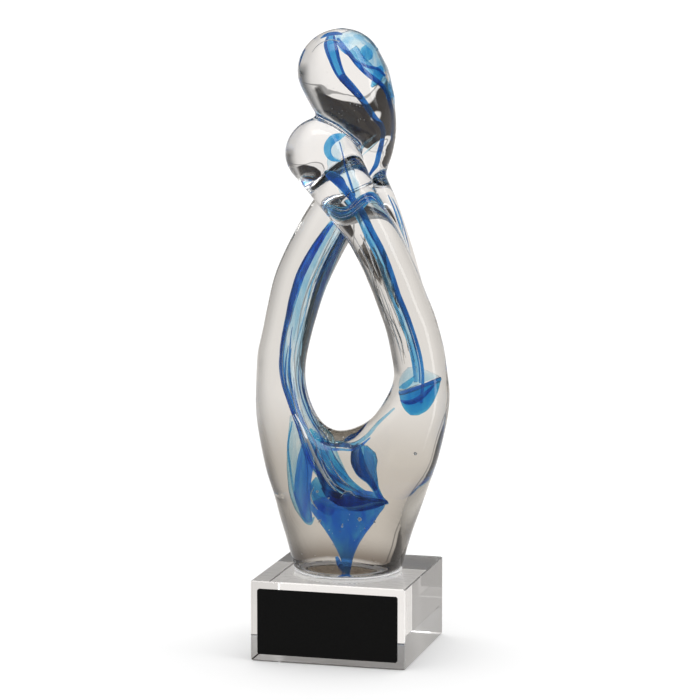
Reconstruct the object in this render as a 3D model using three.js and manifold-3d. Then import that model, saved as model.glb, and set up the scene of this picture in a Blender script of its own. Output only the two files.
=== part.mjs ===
// Twisted art-glass award on a clear crystal block, in millimetres, +Z up, front towards -Y.
// A round foot of hot-worked clear glass opens into two arms round a teardrop hole. The arms cross
// and end in two bulbs, a smaller one on the left and a larger one on top. Blue colour is cased
// inside the clear glass: a core, a leaf, a petal, a bowl, threads, and thin sheets wrapped round
// the middle of the left arm and the upper bulb. The foot is bonded to a polished block, which
// carries a thin black plate on its front face.

import * as THREE from 'three';
import { mergeVertices } from 'three/addons/utils/BufferGeometryUtils.js';
import Module from 'manifold-3d';

const wasm = await Module();
wasm.setup();

// Base block
const BASE_WIDTH = 80;
const BASE_DEPTH = 80;
const BASE_HEIGHT = 41;
const BASE_CHAMFER = 0.5;

// Name plate and the tape that holds it
const PLATE_MARGIN = 3.75;
const PLATE_THICKNESS = 0.8;
const PLATE_CORNER = 0.8;
const TAPE_THICKNESS = 0.2;
const TAPE_INSET = 2;

// Bond between the foot and the block, with a bead squeezed out all round
const BOND_THICKNESS = 0.5;
const BOND_BEAD = 1.6;

// Clear glass: its height from foot to crown, and the radii of its stretches
const GLASS_HEIGHT = 275;
const FOOT_RADIUS = 27.9;
const LEFT_ARM_RADIUS = 12.5;
const RIGHT_ARM_RADIUS = 12.5;
const SADDLE_RADIUS = 12.5;
const FIN_RADIUS = 4.8;
const UPPER_BULB_RADIUS = 21.5;
const LOWER_BULB_RADIUS = 18;

// Cased colour: radii of the solid pieces, and radius and thickness of the sheets
const CORE_RADIUS = 16.6;
const LEAF_RADIUS = 5.6;
const PETAL_RADIUS = 6.6;
const BOWL_RADIUS = 6.7;
const BOWL_CROWN = 0.9;
const THREAD_RADIUS = 1.3;
const FINE_THREAD_RADIUS = 1.2;
const BITS_RADIUS = 2.5;
const RIBBON_RADIUS = 4.7;
const RIBBON_THICKNESS = 1.6;
const VEIL_RADIUS = 3.6;
const VEIL_THICKNESS = 1;
const BULB_VEIL_RADIUS = 14;

// Clearances
const GLASS_GAP = 0.3;
const COLOUR_GAP = 0.3;

// Mesh fineness
const GLASS_SIDES = 20;
const COLOUR_SIDES = 8;
const SHEET_SIDES = 12;
const RINGS_PER_SPAN = 2;
const GLASS_DOME_RINGS = 4;
const COLOUR_DOME_RINGS = 2;
const BOND_SIDES = 40;

// A place in the sculpture, in hundredths of the glass height above the middle of the foot.
const place = (x, y, z) => new THREE.Vector3(x, y, z).multiplyScalar(GLASS_HEIGHT / 100);

// Sections along a swept piece. Each row is the place of its centre, then its half-width across
// the front view and its half-depth from front to back as multiples of the piece's radius.
const sections = (radius, rows) => rows.map(([x, y, z, width, depth = width]) => ({
  centre: place(x, y, z),
  size: new THREE.Vector3(width, depth, 0).multiplyScalar(radius),
}));

// Sections along a wrapped sheet. Each row is the place of the line that the sheet goes round, its
// distance from that line and its thickness as multiples of the sheet's own, then in degrees the
// half-arc that it covers and the way it faces: 0 right, 90 away, 180 left.
const wraps = (radius, thickness, rows) => rows.map(([x, y, z, out, thick, halfArc, facing]) => ({
  centre: place(x, y, z),
  size: new THREE.Vector3(out * radius, thick * thickness, 0),
  turn: new THREE.Vector3(halfArc, facing, 0).multiplyScalar(THREE.MathUtils.DEG2RAD),
}));

// Hot seams: the heights where the arms leave the foot and the upper bulb leaves its neck, and the
// collar of the lower bulb
const ARM_SEAM = place(0, 0, 39).z;
const NECK_SEAM = place(0, 0, 78).z;
const COLLAR = place(-0.4, -4.7, 72.4);
const COLLAR_FACING = new THREE.Vector3(-0.58, 0.25, 0.78).normalize();

// The foot: upright sections that swell from the round foot towards the shoulders.
const FOOT = sections(FOOT_RADIUS, [
  [0, 0, 0, 0.92],
  [0, 0, 0.3, 0.97],
  [0, 0, 0.7, 1],
  [0, 0, 2.9, 1.06, 1.01],
  [0, 0, 6.5, 1.17, 1],
  [0, 0, 10.2, 1.29, 0.96],
  [0.1, 0, 13.8, 1.43, 0.89],
  [0.2, 0, 17.5, 1.51, 0.8],
  [0.4, 0, 20.4, 1.47, 0.71],
  [0.4, 0, 22.5, 1.39, 0.55],
]);

// The saddle under the teardrop hole, from the left arm down and up to the right arm.
const SADDLE = sections(SADDLE_RADIUS, [
  [-12.7, 0, 34.5, 1, 1.04],
  [-12.4, 0, 31.8, 1, 1.08],
  [-10.9, 0, 27.3, 1.06, 1.2],
  [-8, 0, 22.9, 1.06, 1.36],
  [-3.5, 0, 20.9, 1, 1.52],
  [1.8, 0, 21.8, 1, 1.52],
  [6.9, 0, 24.7, 0.97, 1.44],
  [10.5, 0, 28.5, 1.08, 1.28],
  [12.9, 0, 33.5, 1.04, 1.12],
]);

// The strand that rises on the left, passes behind and ends in the upper bulb.
const LEFT_STRAND = [
  ...sections(LEFT_ARM_RADIUS, [
    [-6.4, 0, 10.5, 1.12, 1.6],
    [-9.3, 0, 18, 1.34, 1.6],
    [-11.1, 0, 23.5, 1.24, 1.44],
    [-12.4, 0, 29.1, 1.2, 1.24],
    [-12.9, 0, 33.8, 1.07, 1.08],
    [-12.7, 0, 38.4, 1.03, 1.04],
    [-12, 0, 42.2, 1],
    [-10.9, 0.5, 47.3, 1.04, 1],
    [-9.5, 1.8, 53.3, 1.1, 1],
    [-6.4, 3.8, 60.5, 1.1, 0.98],
    [-4.2, 4.7, 64.5, 1.1, 0.94],
    [-1.5, 4.7, 68.9, 1, 0.9],
    [1.8, 4, 73.6, 0.92, 0.88],
    [4.4, 2.9, 78.4, 0.76, 0.84],
  ]),
  ...sections(UPPER_BULB_RADIUS, [
    [4.5, 1.5, 81.1, 0.53, 0.56],
    [3.3, -0.5, 84.5, 0.79, 0.77],
    [0.9, -1.8, 88.9, 1, 0.93],
    [-0.9, -2.4, 92.5, 1, 0.95],
  ]),
];

// The strand that rises on the right, crosses in front and ends in the lower bulb.
const RIGHT_STRAND = [
  ...sections(RIGHT_ARM_RADIUS, [
    [8.9, 0, 13.3, 1.06, 1.6],
    [11.5, 0, 20.4, 1.13, 1.6],
    [12.7, 0, 25.5, 1.17, 1.44],
    [13.8, 0, 30.2, 1.17, 1.28],
    [14.2, 0, 34, 1.15, 1.2],
    [13.8, 0, 36.7, 1.1, 1.12],
    [13.1, 0, 41.3, 1.07, 1.08],
    [12, -0.4, 46, 1.05, 1.04],
    [10.5, -1.5, 50.5, 1.02, 1.04],
    [8.7, -2.7, 55.8, 1],
    [5.6, -4.9, 63.3, 1, 0.98],
    [3.1, -5.5, 67.3, 1.08, 1.02],
    [0.7, -5.3, 70.7, 1.2, 1.12],
  ]),
  ...sections(LOWER_BULB_RADIUS, [
    [-1.8, -4.2, 74.2, 0.92, 0.9],
    [-4.4, -2.9, 77.5, 1.02, 1],
  ]),
];

// The domes that close the bulbs and the top of the fin
const UPPER_BULB_CROWN = 0.93 * UPPER_BULB_RADIUS;
const LOWER_BULB_CROWN = 0.94 * LOWER_BULB_RADIUS;
const FIN_CROWN = FIN_RADIUS;

// The fin along the outside of the right arm, which runs up beside the neck of the upper bulb.
const FIN = sections(FIN_RADIUS, [
  [14.4, 0, 45.1, 1.25, 1.88],
  [12.4, 0.4, 52, 1.04, 1.88],
  [10.5, 0.7, 58.2, 1, 1.88],
  [8.7, 1.1, 63.5, 1, 1.88],
  [6.7, 1.6, 68.7, 1, 1.56],
  [4.9, 2.2, 72.9, 0.83, 1.25],
]);

// Colour in the foot: the kite-shaped core that runs to a point at the bottom, the leaf down the
// left and the petal that hangs from the right tip of the core.
const CORE = sections(CORE_RADIUS, [
  [0.2, -1, -0.4, 0.06, 0.06],
  [0.2, -1, 2.2, 0.14, 0.16],
  [0.2, -1, 5.5, 0.33, 0.28],
  [0.2, -1, 7.3, 0.51, 0.35],
  [0.2, -0.9, 9.1, 0.73, 0.41],
  [0.1, -0.9, 10.7, 0.92, 0.45],
  [0.7, -1, 12, 1, 0.42],
  [1.7, -1.2, 13.1, 0.94, 0.33],
  [3.8, -1.5, 13.8, 0.6, 0.18],
]);
const LEAF = sections(LEAF_RADIUS, [
  [-5.7, -4.4, 10, 0.3],
  [-6.7, -4.2, 12.2, 0.75],
  [-7.6, -4, 14.9, 0.92],
  [-8.2, -3.6, 18.5, 1],
  [-8.8, -3.2, 22.2, 0.83],
  [-9.5, -3, 25.5, 0.54],
  [-10.2, -2.7, 28.2, 0.2],
]);
const PETAL = sections(PETAL_RADIUS, [
  [7.2, -1.9, 13.7, 0.2],
  [6.6, -2.3, 15, 0.24],
  [6, -2.6, 16, 0.32],
  [5.5, -2.9, 17.3, 0.5],
  [4.4, -2.8, 19.1, 0.87],
  [4, -2.6, 20.7, 1],
  [3.9, -2.4, 22.2, 0.8],
]);

// Colour in the left arm: the ribbon, wrapped round the left of the arm's middle from the core to
// the neck of the upper bulb, and the thinner veil on its right.
const RIBBON = wraps(RIBBON_RADIUS, RIBBON_THICKNESS, [
  [5.6, -2.9, 14.8, 0.3, 0.62, 60, 190],
  [3.6, -2.9, 15.4, 0.77, 0.75, 80, 195],
  [-0.4, -2, 17, 1.19, 0.87, 100, 195],
  [-3.6, -1.5, 19.8, 1.36, 0.81, 110, 190],
  [-6.2, -1, 23.5, 1.23, 0.69, 105, 185],
  [-8.5, -0.5, 27.3, 0.94, 0.65, 100, 180],
  [-10.2, 0, 31.1, 0.87, 0.65, 100, 180],
  [-11.1, 0, 38.5, 1, 0.65, 100, 180],
  [-9.6, 0.4, 46, 1.09, 0.81, 100, 180],
  [-8, 2, 53.3, 1.15, 1.25, 100, 180],
  [-6.2, 3.5, 57.8, 1.02, 1.25, 100, 175],
  [-4.4, 4.5, 61.5, 0.87, 1.12, 100, 170],
  [-2.4, 5.3, 65.1, 0.72, 0.94, 100, 165],
  [0, 5.3, 69.1, 0.55, 0.75, 80, 160],
  [2.2, 4.5, 72.7, 0.35, 0.62, 60, 160],
]);
const VEIL = wraps(VEIL_RADIUS, VEIL_THICKNESS, [
  [-2.2, -0.4, 19.3, 1, 0.7, 40, 10],
  [-4.5, -0.5, 22.5, 1.28, 0.8, 75, 5],
  [-7.3, -0.7, 26.5, 1, 0.8, 80, 0],
  [-9.3, -0.4, 30.9, 0.81, 0.8, 80, 0],
  [-10.2, -0.3, 38.5, 0.86, 0.8, 80, 0],
  [-8.6, 0.2, 46.2, 1, 0.8, 80, 0],
  [-6.5, 2, 54, 1.11, 0.9, 80, 0],
  [-4.7, 3.3, 58.5, 0.94, 0.9, 80, 0],
  [-2.9, 4.4, 62.2, 0.78, 0.8, 75, 0],
  [-1.1, 4.9, 66, 0.5, 0.7, 50, 0],
]);

// Bits of colour under the teardrop hole, drawn out to a line that climbs to the right arm.
const SADDLE_THREAD = sections(BITS_RADIUS, [
  [-2.4, 0.3, 23.2, 0.6, 0.6],
  [-0.9, 1, 23.4, 0.9, 0.7],
  [1.5, 0.5, 23.8, 1, 0.8],
  [3.1, 0, 24.5, 0.56, 0.52],
  [5.5, 0, 27.1, 0.32],
  [8, 0, 29.5, 0.24],
]);

// Colour in the right arm: the bowl at the elbow and the thread that runs on to the crossing.
const ELBOW = sections(BOWL_RADIUS, [
  [13.1, -0.5, 28.9, 0.13, 0.18],
  [13.1, -0.5, 29.6, 0.49, 0.51],
  [13.2, -0.5, 30.5, 0.75],
  [13.3, -0.5, 31.8, 0.91, 0.9],
  [13.5, -0.5, 34, 1, 0.92],
]);
const RIGHT_THREAD = sections(THREAD_RADIUS, [
  [14.2, -1.1, 33, 0.75],
  [14.4, -1.1, 35.6, 0.75],
  [14, -0.9, 39.3, 0.75],
  [13.1, -1.1, 43.3, 0.75],
  [11.8, -1.6, 47.5, 0.8],
  [10.4, -2.7, 51.6, 0.85],
  [8.9, -3.8, 56.4, 0.9],
  [7.5, -4.9, 60.4, 1],
  [5.8, -5.8, 63.8, 1],
  [4.2, -6.4, 67.1, 1],
  [2.4, -6.4, 69.5, 1.1],
  [0.9, -6.2, 71.3, 1.2],
  [-0.5, -5.8, 72.7, 1.4],
]);

// Colour in the bulbs
const LOWER_SWIRL = sections(FINE_THREAD_RADIUS, [
  [-0.3, -5.8, 73.6, 0.9],
  [-1.2, -5.6, 75.3, 0.95],
  [-2.5, -5.1, 76.9, 1],
  [-3.1, -4.7, 78.7, 1.08],
  [-2.9, -4.6, 80.2, 1],
  [-2, -4.5, 81.1, 0.92],
]);
const BULB_THREAD = sections(THREAD_RADIUS, [
  [4, 2.9, 74.6, 0.75],
  [4.5, 2.7, 76, 0.75],
  [5.5, 1.3, 79.8, 0.75],
  [5.6, -0.4, 82.5, 0.75],
  [4.9, -2, 84.4, 0.85],
  [2.9, -3.3, 88, 1.05],
  [0.4, -4, 91.3, 1.2],
  [-1.1, -4.2, 93.8, 1.5],
  [-2.3, -4.1, 96, 1.9],
]);
const BULB_FINE_THREAD = sections(FINE_THREAD_RADIUS, [
  [0.7, -4.5, 94.5, 0.85],
  [2.7, -4.5, 92.4, 0.95],
  [4.9, -4.2, 90.2, 1.1],
  [6.6, -3.6, 88.4, 1.15],
  [7.1, -2.2, 86, 1],
  [7.1, -0.2, 82.9, 0.8],
  [6.4, 2, 79.8, 0.6],
  [5.9, 2.8, 77.5, 0.5],
]);
const BULB_VEIL = wraps(BULB_VEIL_RADIUS, VEIL_THICKNESS, [
  [4.5, 2.8, 77, 0.3, 0.9, 25, 80],
  [4.4, 1, 82, 0.5, 0.9, 30, 70],
  [2.2, -1.8, 86.5, 0.8, 0.9, 35, 45],
  [1.1, -2, 89.1, 0.96, 1, 45, 35],
  [0, -2.2, 91.6, 1, 1, 52, 30],
  [-1.1, -2.4, 94.2, 0.9, 0.9, 45, 25],
]);

const Y_AXIS = new THREE.Vector3(0, 1, 0);
const Z_AXIS = new THREE.Vector3(0, 0, 1);

// A closed geometry as a solid that can be joined and cut.
function solidOf(geometry) {
  geometry.deleteAttribute('normal');
  geometry.deleteAttribute('uv');
  const merged = mergeVertices(geometry, 1e-4);
  return new wasm.Manifold(new wasm.Mesh({
    numProp: 3,
    vertProperties: merged.attributes.position.array,
    triVerts: new Uint32Array(merged.index.array),
  }));
}

function geometryOf(solid) {
  const mesh = solid.getMesh();
  const geometry = new THREE.BufferGeometry();
  geometry.setAttribute('position', new THREE.BufferAttribute(mesh.vertProperties, mesh.numProp));
  geometry.setIndex(new THREE.BufferAttribute(mesh.triVerts, 1));
  geometry.computeVertexNormals();
  return geometry;
}

// A solid skinned over rings of equal point counts, closed by a point at each end.
function skin(rings, startPole, endPole) {
  const sides = rings[0].length;
  const points = [...rings.flat(), startPole, endPole];
  const faces = [];
  for (let j = 0; j < sides; j++) {
    const next = (j + 1) % sides;
    for (let i = 0; i < rings.length - 1; i++) {
      const low = i * sides;
      const high = low + sides;
      faces.push(low + j, low + next, high + next, low + j, high + next, high + j);
    }
    const last = (rings.length - 1) * sides;
    faces.push(points.length - 2, next, j);
    faces.push(points.length - 1, last + j, last + next);
  }
  const geometry = new THREE.BufferGeometry().setFromPoints(points);
  geometry.setIndex(faces);
  return solidOf(geometry);
}

// An oval ring square to a direction, with its width kept in the front view.
function ovalRing(centre, tangent, halfWidth, halfDepth, sides) {
  const across = new THREE.Vector3().crossVectors(Y_AXIS, tangent).normalize();
  const deep = new THREE.Vector3().crossVectors(tangent, across);
  return Array.from({ length: sides }, (_, j) => {
    const angle = (2 * Math.PI * j) / sides;
    return centre.clone()
      .addScaledVector(across, halfWidth * Math.cos(angle))
      .addScaledVector(deep, halfDepth * Math.sin(angle));
  });
}

// A closed body swept through sections along a smooth curve. grow swells it all round, a start or
// end dome rounds that end instead of leaving it flat, and level keeps every section level.
function sweep(stations, {
  grow = 0, startDome = 0, endDome = 0, sides = GLASS_SIDES, domeSteps = GLASS_DOME_RINGS,
  level = false,
} = {}) {
  const path = new THREE.CatmullRomCurve3(stations.map((station) => station.centre));
  const sizes = new THREE.CatmullRomCurve3(stations.map((station) => station.size));
  const spans = (stations.length - 1) * RINGS_PER_SPAN;
  const direction = (t) => (level ? Z_AXIS.clone() : path.getTangent(t));
  const ringAt = (t, along, shrink) => {
    const tangent = direction(t);
    const centre = path.getPoint(t).addScaledVector(tangent, along);
    const size = sizes.getPoint(t);
    return ovalRing(centre, tangent, (size.x + grow) * shrink, (size.y + grow) * shrink, sides);
  };
  const domeRings = (t, height, outward) => Array.from({ length: domeSteps - 1 }, (_, k) => {
    const angle = ((k + 1) / domeSteps) * (Math.PI / 2);
    return ringAt(t, outward * (height + grow) * Math.sin(angle), Math.cos(angle));
  });
  const tip = (t, reach) => path.getPoint(t).addScaledVector(direction(t), reach);

  const rings = [];
  if (startDome > 0) rings.push(...domeRings(0, startDome, -1).reverse());
  for (let i = 0; i <= spans; i++) {
    const flatStart = i === 0 && startDome === 0;
    const flatEnd = i === spans && endDome === 0;
    rings.push(ringAt(i / spans, flatStart ? -grow : flatEnd ? grow : 0, 1));
  }
  if (endDome > 0) rings.push(...domeRings(1, endDome, 1));
  return skin(rings, tip(0, -startDome - grow), tip(1, endDome + grow));
}

// A solid colour piece: a sweep with fewer sides, domed at its ends by its own half-depth.
function cased(stations, { grow = 0, startDome, endDome, level = false } = {}) {
  return sweep(stations, {
    grow,
    startDome: startDome ?? stations[0].size.y,
    endDome: endDome ?? stations[stations.length - 1].size.y,
    sides: COLOUR_SIDES,
    domeSteps: COLOUR_DOME_RINGS,
    level,
  });
}

// A thin sheet wrapped round a smooth line. Its section is an arc that swells from nothing at its
// two edges to the full thickness in the middle.
function wrappedSheet(stations, grow = 0) {
  const path = new THREE.CatmullRomCurve3(stations.map((station) => station.centre));
  const sizes = new THREE.CatmullRomCurve3(stations.map((station) => station.size));
  const turns = new THREE.CatmullRomCurve3(stations.map((station) => station.turn));
  const spans = (stations.length - 1) * RINGS_PER_SPAN;
  const onSheet = (t, around) => {
    const tangent = path.getTangent(t);
    const across = new THREE.Vector3().crossVectors(Y_AXIS, tangent).normalize();
    const deep = new THREE.Vector3().crossVectors(tangent, across);
    const { x: out, y: thickness } = sizes.getPoint(t);
    const { x: halfArc, y: facing } = turns.getPoint(t);
    const distance = out + (thickness / 2 + grow) * Math.sin(around);
    const bearing = facing - (halfArc + grow / out) * Math.cos(around);
    const past = t === 0 ? -grow : t === 1 ? grow : 0;
    return path.getPoint(t)
      .addScaledVector(across, distance * Math.cos(bearing))
      .addScaledVector(deep, distance * Math.sin(bearing))
      .addScaledVector(tangent, past);
  };
  const rings = Array.from({ length: spans + 1 }, (_, i) => (
    Array.from({ length: SHEET_SIDES }, (_unused, j) => (
      onSheet(i / spans, (2 * Math.PI * j) / SHEET_SIDES)
    ))
  ));
  const middle = (ring) => ring[SHEET_SIDES / 4].clone().lerp(ring[(3 * SHEET_SIDES) / 4], 0.5);
  return skin(rings, middle(rings[0]), middle(rings[spans]));
}

// Trimming spaces: everything between two heights, and everything past a tilted plane.
const REACH = 2 * GLASS_HEIGHT;
function between(low, high) {
  const geometry = new THREE.BoxGeometry(2 * REACH, 2 * REACH, high - low);
  geometry.translate(0, 0, (low + high) / 2);
  return solidOf(geometry);
}
function beyond(point, facing) {
  const geometry = new THREE.BoxGeometry(2 * REACH, 2 * REACH, REACH);
  geometry.translate(0, 0, REACH / 2);
  geometry.applyQuaternion(new THREE.Quaternion().setFromUnitVectors(Z_AXIS, facing));
  geometry.translate(point.x, point.y, point.z);
  return solidOf(geometry);
}

// Materials
const clearGlass = new THREE.MeshStandardMaterial({
  color: 0xf2f4f3, roughness: 0.03, metalness: 0, transparent: true, opacity: 0.35,
});
const crystal = new THREE.MeshStandardMaterial({
  color: 0xf6f8f8, roughness: 0.02, metalness: 0, transparent: true, opacity: 0.35,
});
const deepBlue = new THREE.MeshStandardMaterial({ color: 0x12389f, roughness: 0.05, metalness: 0 });
const skyBlue = new THREE.MeshStandardMaterial({ color: 0x2e8fd0, roughness: 0.05, metalness: 0 });
const blackPlate = new THREE.MeshStandardMaterial({ color: 0x0c0b0b, roughness: 0.3, metalness: 0.1 });
const tapeWhite = new THREE.MeshStandardMaterial({ color: 0xd9d9d6, roughness: 0.6, metalness: 0 });
const bondClear = new THREE.MeshStandardMaterial({
  color: 0xf4f4f0, roughness: 0.1, metalness: 0, transparent: true, opacity: 0.5,
});

function piece(name, geometry, material) {
  const mesh = new THREE.Mesh(geometry, material.clone());
  mesh.name = name;
  return mesh;
}

// Colour pieces, from the one that keeps its whole shape to the ones that give way to it.
const colourForms = [
  ['blue_core', deepBlue, (grow) => cased(CORE, { grow, startDome: 0, level: true })],
  ['blue_leaf', deepBlue, (grow) => cased(LEAF, { grow })],
  ['blue_petal', deepBlue, (grow) => cased(PETAL, { grow })],
  ['arm_ribbon', deepBlue, (grow) => wrappedSheet(RIBBON, grow)],
  ['arm_veil', skyBlue, (grow) => wrappedSheet(VEIL, grow)],
  ['saddle_thread', deepBlue, (grow) => cased(SADDLE_THREAD, { grow })],
  ['elbow_bowl', deepBlue, (grow) => cased(ELBOW, { grow, endDome: BOWL_CROWN, level: true })],
  ['right_arm_thread', deepBlue, (grow) => cased(RIGHT_THREAD, { grow })],
  ['lower_bulb_swirl', skyBlue, (grow) => cased(LOWER_SWIRL, { grow })],
  ['bulb_thread', deepBlue, (grow) => cased(BULB_THREAD, { grow })],
  ['bulb_fine_thread', deepBlue, (grow) => cased(BULB_FINE_THREAD, { grow })],
  ['bulb_veil', skyBlue, (grow) => wrappedSheet(BULB_VEIL, grow)],
];
let colourSpace = null;
const colourPieces = colourForms.map(([name, material, form]) => {
  const whole = form(0).intersect(between(0, REACH));
  const solid = colourSpace ? whole.subtract(colourSpace) : whole;
  const room = form(COLOUR_GAP);
  colourSpace = colourSpace ? colourSpace.add(room) : room;
  return piece(name, geometryOf(solid), material);
});

// Clear glass: the foot carries both arms, each arm its bulb, and the left strand shapes the
// pieces of the right strand where they press on it.
const footBody = sweep(FOOT);
const saddle = sweep(SADDLE);
const leftStrand = sweep(LEFT_STRAND, { endDome: UPPER_BULB_CROWN });
const leftSpace = sweep(LEFT_STRAND, { endDome: UPPER_BULB_CROWN, grow: GLASS_GAP });
const rightStrand = sweep(RIGHT_STRAND, { endDome: LOWER_BULB_CROWN });
const fin = sweep(FIN, { endDome: FIN_CROWN });
const pastCollar = beyond(COLLAR, COLLAR_FACING);

const glassForms = [
  ['foot_gather', footBody.add(saddle).add(leftStrand).add(rightStrand)
    .intersect(between(0, ARM_SEAM))],
  ['left_arm', leftStrand.intersect(between(ARM_SEAM, NECK_SEAM))],
  ['right_arm', rightStrand.subtract(pastCollar).add(fin).intersect(between(ARM_SEAM, REACH))
    .subtract(leftSpace)],
  ['upper_bulb', leftStrand.intersect(between(NECK_SEAM, REACH))],
  ['lower_bulb', rightStrand.intersect(pastCollar).subtract(leftSpace).subtract(fin)],
];
const glassPieces = glassForms.map(([name, solid]) => (
  piece(name, geometryOf(solid.subtract(colourSpace)), clearGlass)
));

const sculpture = new THREE.Group();
sculpture.position.z = BASE_HEIGHT + BOND_THICKNESS;
sculpture.add(...glassPieces, ...colourPieces);

// A square outline with its corners cut off.
function cutCornerShape(width, height, corner) {
  const x = width / 2;
  const y = height / 2;
  return new THREE.Shape([
    [x, y - corner], [x - corner, y], [corner - x, y], [-x, y - corner],
    [-x, corner - y], [corner - x, -y], [x - corner, -y], [x, corner - y],
  ].map(([px, py]) => new THREE.Vector2(px, py)));
}

// The crystal block, with a fine chamfer on every edge.
const blockShape = cutCornerShape(
  BASE_WIDTH - 2 * BASE_CHAMFER, BASE_DEPTH - 2 * BASE_CHAMFER, BASE_CHAMFER,
);
const blockGeometry = new THREE.ExtrudeGeometry(blockShape, {
  depth: BASE_HEIGHT - 2 * BASE_CHAMFER,
  bevelThickness: BASE_CHAMFER,
  bevelSize: BASE_CHAMFER,
  bevelSegments: 1,
});
blockGeometry.translate(0, 0, BASE_CHAMFER);
const baseBlock = piece('base_block', blockGeometry, crystal);

// The bond: a thin disc under the foot with a sloping bead round it.
const bondTop = FOOT[0].size.x;
const bondProfile = [
  [0, 0], [bondTop + BOND_BEAD, 0], [bondTop + BOND_BEAD / 3, BOND_THICKNESS / 2],
  [bondTop, BOND_THICKNESS], [0, BOND_THICKNESS],
].map(([r, h]) => new THREE.Vector2(r, h));
const bondGeometry = new THREE.LatheGeometry(bondProfile, BOND_SIDES);
bondGeometry.rotateX(Math.PI / 2);
const bond = piece('foot_bond', bondGeometry, bondClear);
bond.position.z = BASE_HEIGHT;

// The plate on its tape, centred on the front face.
const plateWidth = BASE_WIDTH - 2 * PLATE_MARGIN;
const plateHeight = BASE_HEIGHT - 2 * PLATE_MARGIN;
function frontPanel(name, width, height, thickness, faceY, material) {
  const geometry = new THREE.ExtrudeGeometry(cutCornerShape(width, height, PLATE_CORNER), {
    depth: thickness, bevelEnabled: false,
  });
  geometry.rotateX(Math.PI / 2);
  const mesh = piece(name, geometry, material);
  mesh.position.set(0, faceY, BASE_HEIGHT / 2);
  return mesh;
}
const frontFace = -BASE_DEPTH / 2;
const tape = frontPanel(
  'plate_tape', plateWidth - 2 * TAPE_INSET, plateHeight - 2 * TAPE_INSET, TAPE_THICKNESS,
  frontFace, tapeWhite,
);
const plate = frontPanel(
  'name_plate', plateWidth, plateHeight, PLATE_THICKNESS, frontFace - TAPE_THICKNESS, blackPlate,
);

const award = new THREE.Group();
award.add(baseBlock, bond, tape, plate, sculpture);

export default award;
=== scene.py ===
# Twisted art-glass award on a clear crystal block: clear hot-worked glass cased over blue colour.
import math

import bpy
import numpy as np
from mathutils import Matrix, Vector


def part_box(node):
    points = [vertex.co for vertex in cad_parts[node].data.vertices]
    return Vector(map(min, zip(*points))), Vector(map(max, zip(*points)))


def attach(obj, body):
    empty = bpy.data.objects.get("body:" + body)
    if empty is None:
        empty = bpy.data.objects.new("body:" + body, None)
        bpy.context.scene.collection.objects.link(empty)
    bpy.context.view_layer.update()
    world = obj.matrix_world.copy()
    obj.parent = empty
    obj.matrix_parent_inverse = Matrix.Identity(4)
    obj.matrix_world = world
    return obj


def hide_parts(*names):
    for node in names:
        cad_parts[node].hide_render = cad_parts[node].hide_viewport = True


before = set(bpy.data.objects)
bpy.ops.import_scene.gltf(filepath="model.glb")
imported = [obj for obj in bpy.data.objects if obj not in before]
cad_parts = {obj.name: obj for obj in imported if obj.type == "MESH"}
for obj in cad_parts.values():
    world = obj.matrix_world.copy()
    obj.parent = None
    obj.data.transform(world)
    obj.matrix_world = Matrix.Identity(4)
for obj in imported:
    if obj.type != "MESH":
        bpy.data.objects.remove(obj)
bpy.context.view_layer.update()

MM = 0.001

# The foot's underside, taken from the frame, and the room between the block and the floor
FOOT_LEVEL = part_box("foot_gather")[0][2]
FLOOR_GAP = 0.2 * MM

# Camera at the photograph's viewing angle, with its scale in pixels per millimetre
CAMERA_TURN = math.radians(15.0)
CAMERA_RISE = math.radians(8.7)
CAMERA_DISTANCE = 1.625
CAMERA_AIM = np.array([0.001, 0.0, 0.1537])
CAMERA_SENSOR = 36.0
PHOTO_SCALE = 1.981
PHOTO_WIDTH = 700.0

# Mesh fineness
GLASS_VOXEL = 0.85 * MM
GLASS_SIDES = 64
COLOUR_SIDES = 36
STRAND_SIDES = 14
RINGS_PER_SPAN = 8
STRAND_RINGS_PER_SPAN = 3
STRAND_PLACES = 16
BOWL_RINGS_PER_SPAN = 6
DOME_RINGS = 14
BLOCK_POINTS_PER_SIDE = 32
BEAD_PLACES, BEAD_SIDES = 160, 16
RIM_PLACES, RIM_SIDES = 28, 12
BUBBLE_SIDES, SEED_SIDES = 20, 8

# Block edges, the circle where the foot is bonded, and the bead round it, in millimetres
BLOCK_EDGE = 0.5
CONTACT_RADIUS = 25.6
BEAD_CENTRE = 26.6
BEAD_HALF_WIDTH = 1.0
BEAD_HALF_HEIGHT = 0.42
BEAD_LIFT = -0.06
RIM_HEIGHT = 1.3
RESTING_REACH = 0.5
RESTING_FLATNESS = 0.02

# Relaxing of the clear skin: heights above the foot in millimetres, shares of a step, and rounds
SKIN_LOW, SKIN_HIGH, SKIN_LEAST = 1.0, 6.0, 0.15
JUNCTION = (24, 40, 98, 112)
FIN_JOIN = (118, 124, 205, 212)
JUNCTION_SHARE, JUNCTION_ROUNDS = 0.6, 140
FIN_SHARE, FIN_ROUNDS = 0.5, 20
SKIN_SHARE, SKIN_ROUNDS = 0.5, 22
BULB_LOW, BULB_HIGH, BULB_ROUNDS = 214, 228, 110
BULB_PULL, BULB_PUSH = 0.60, -0.62
CROWN_LOW, CROWN_HIGH, CROWN_EASE = 255, 275, 0.3 * MM

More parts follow.
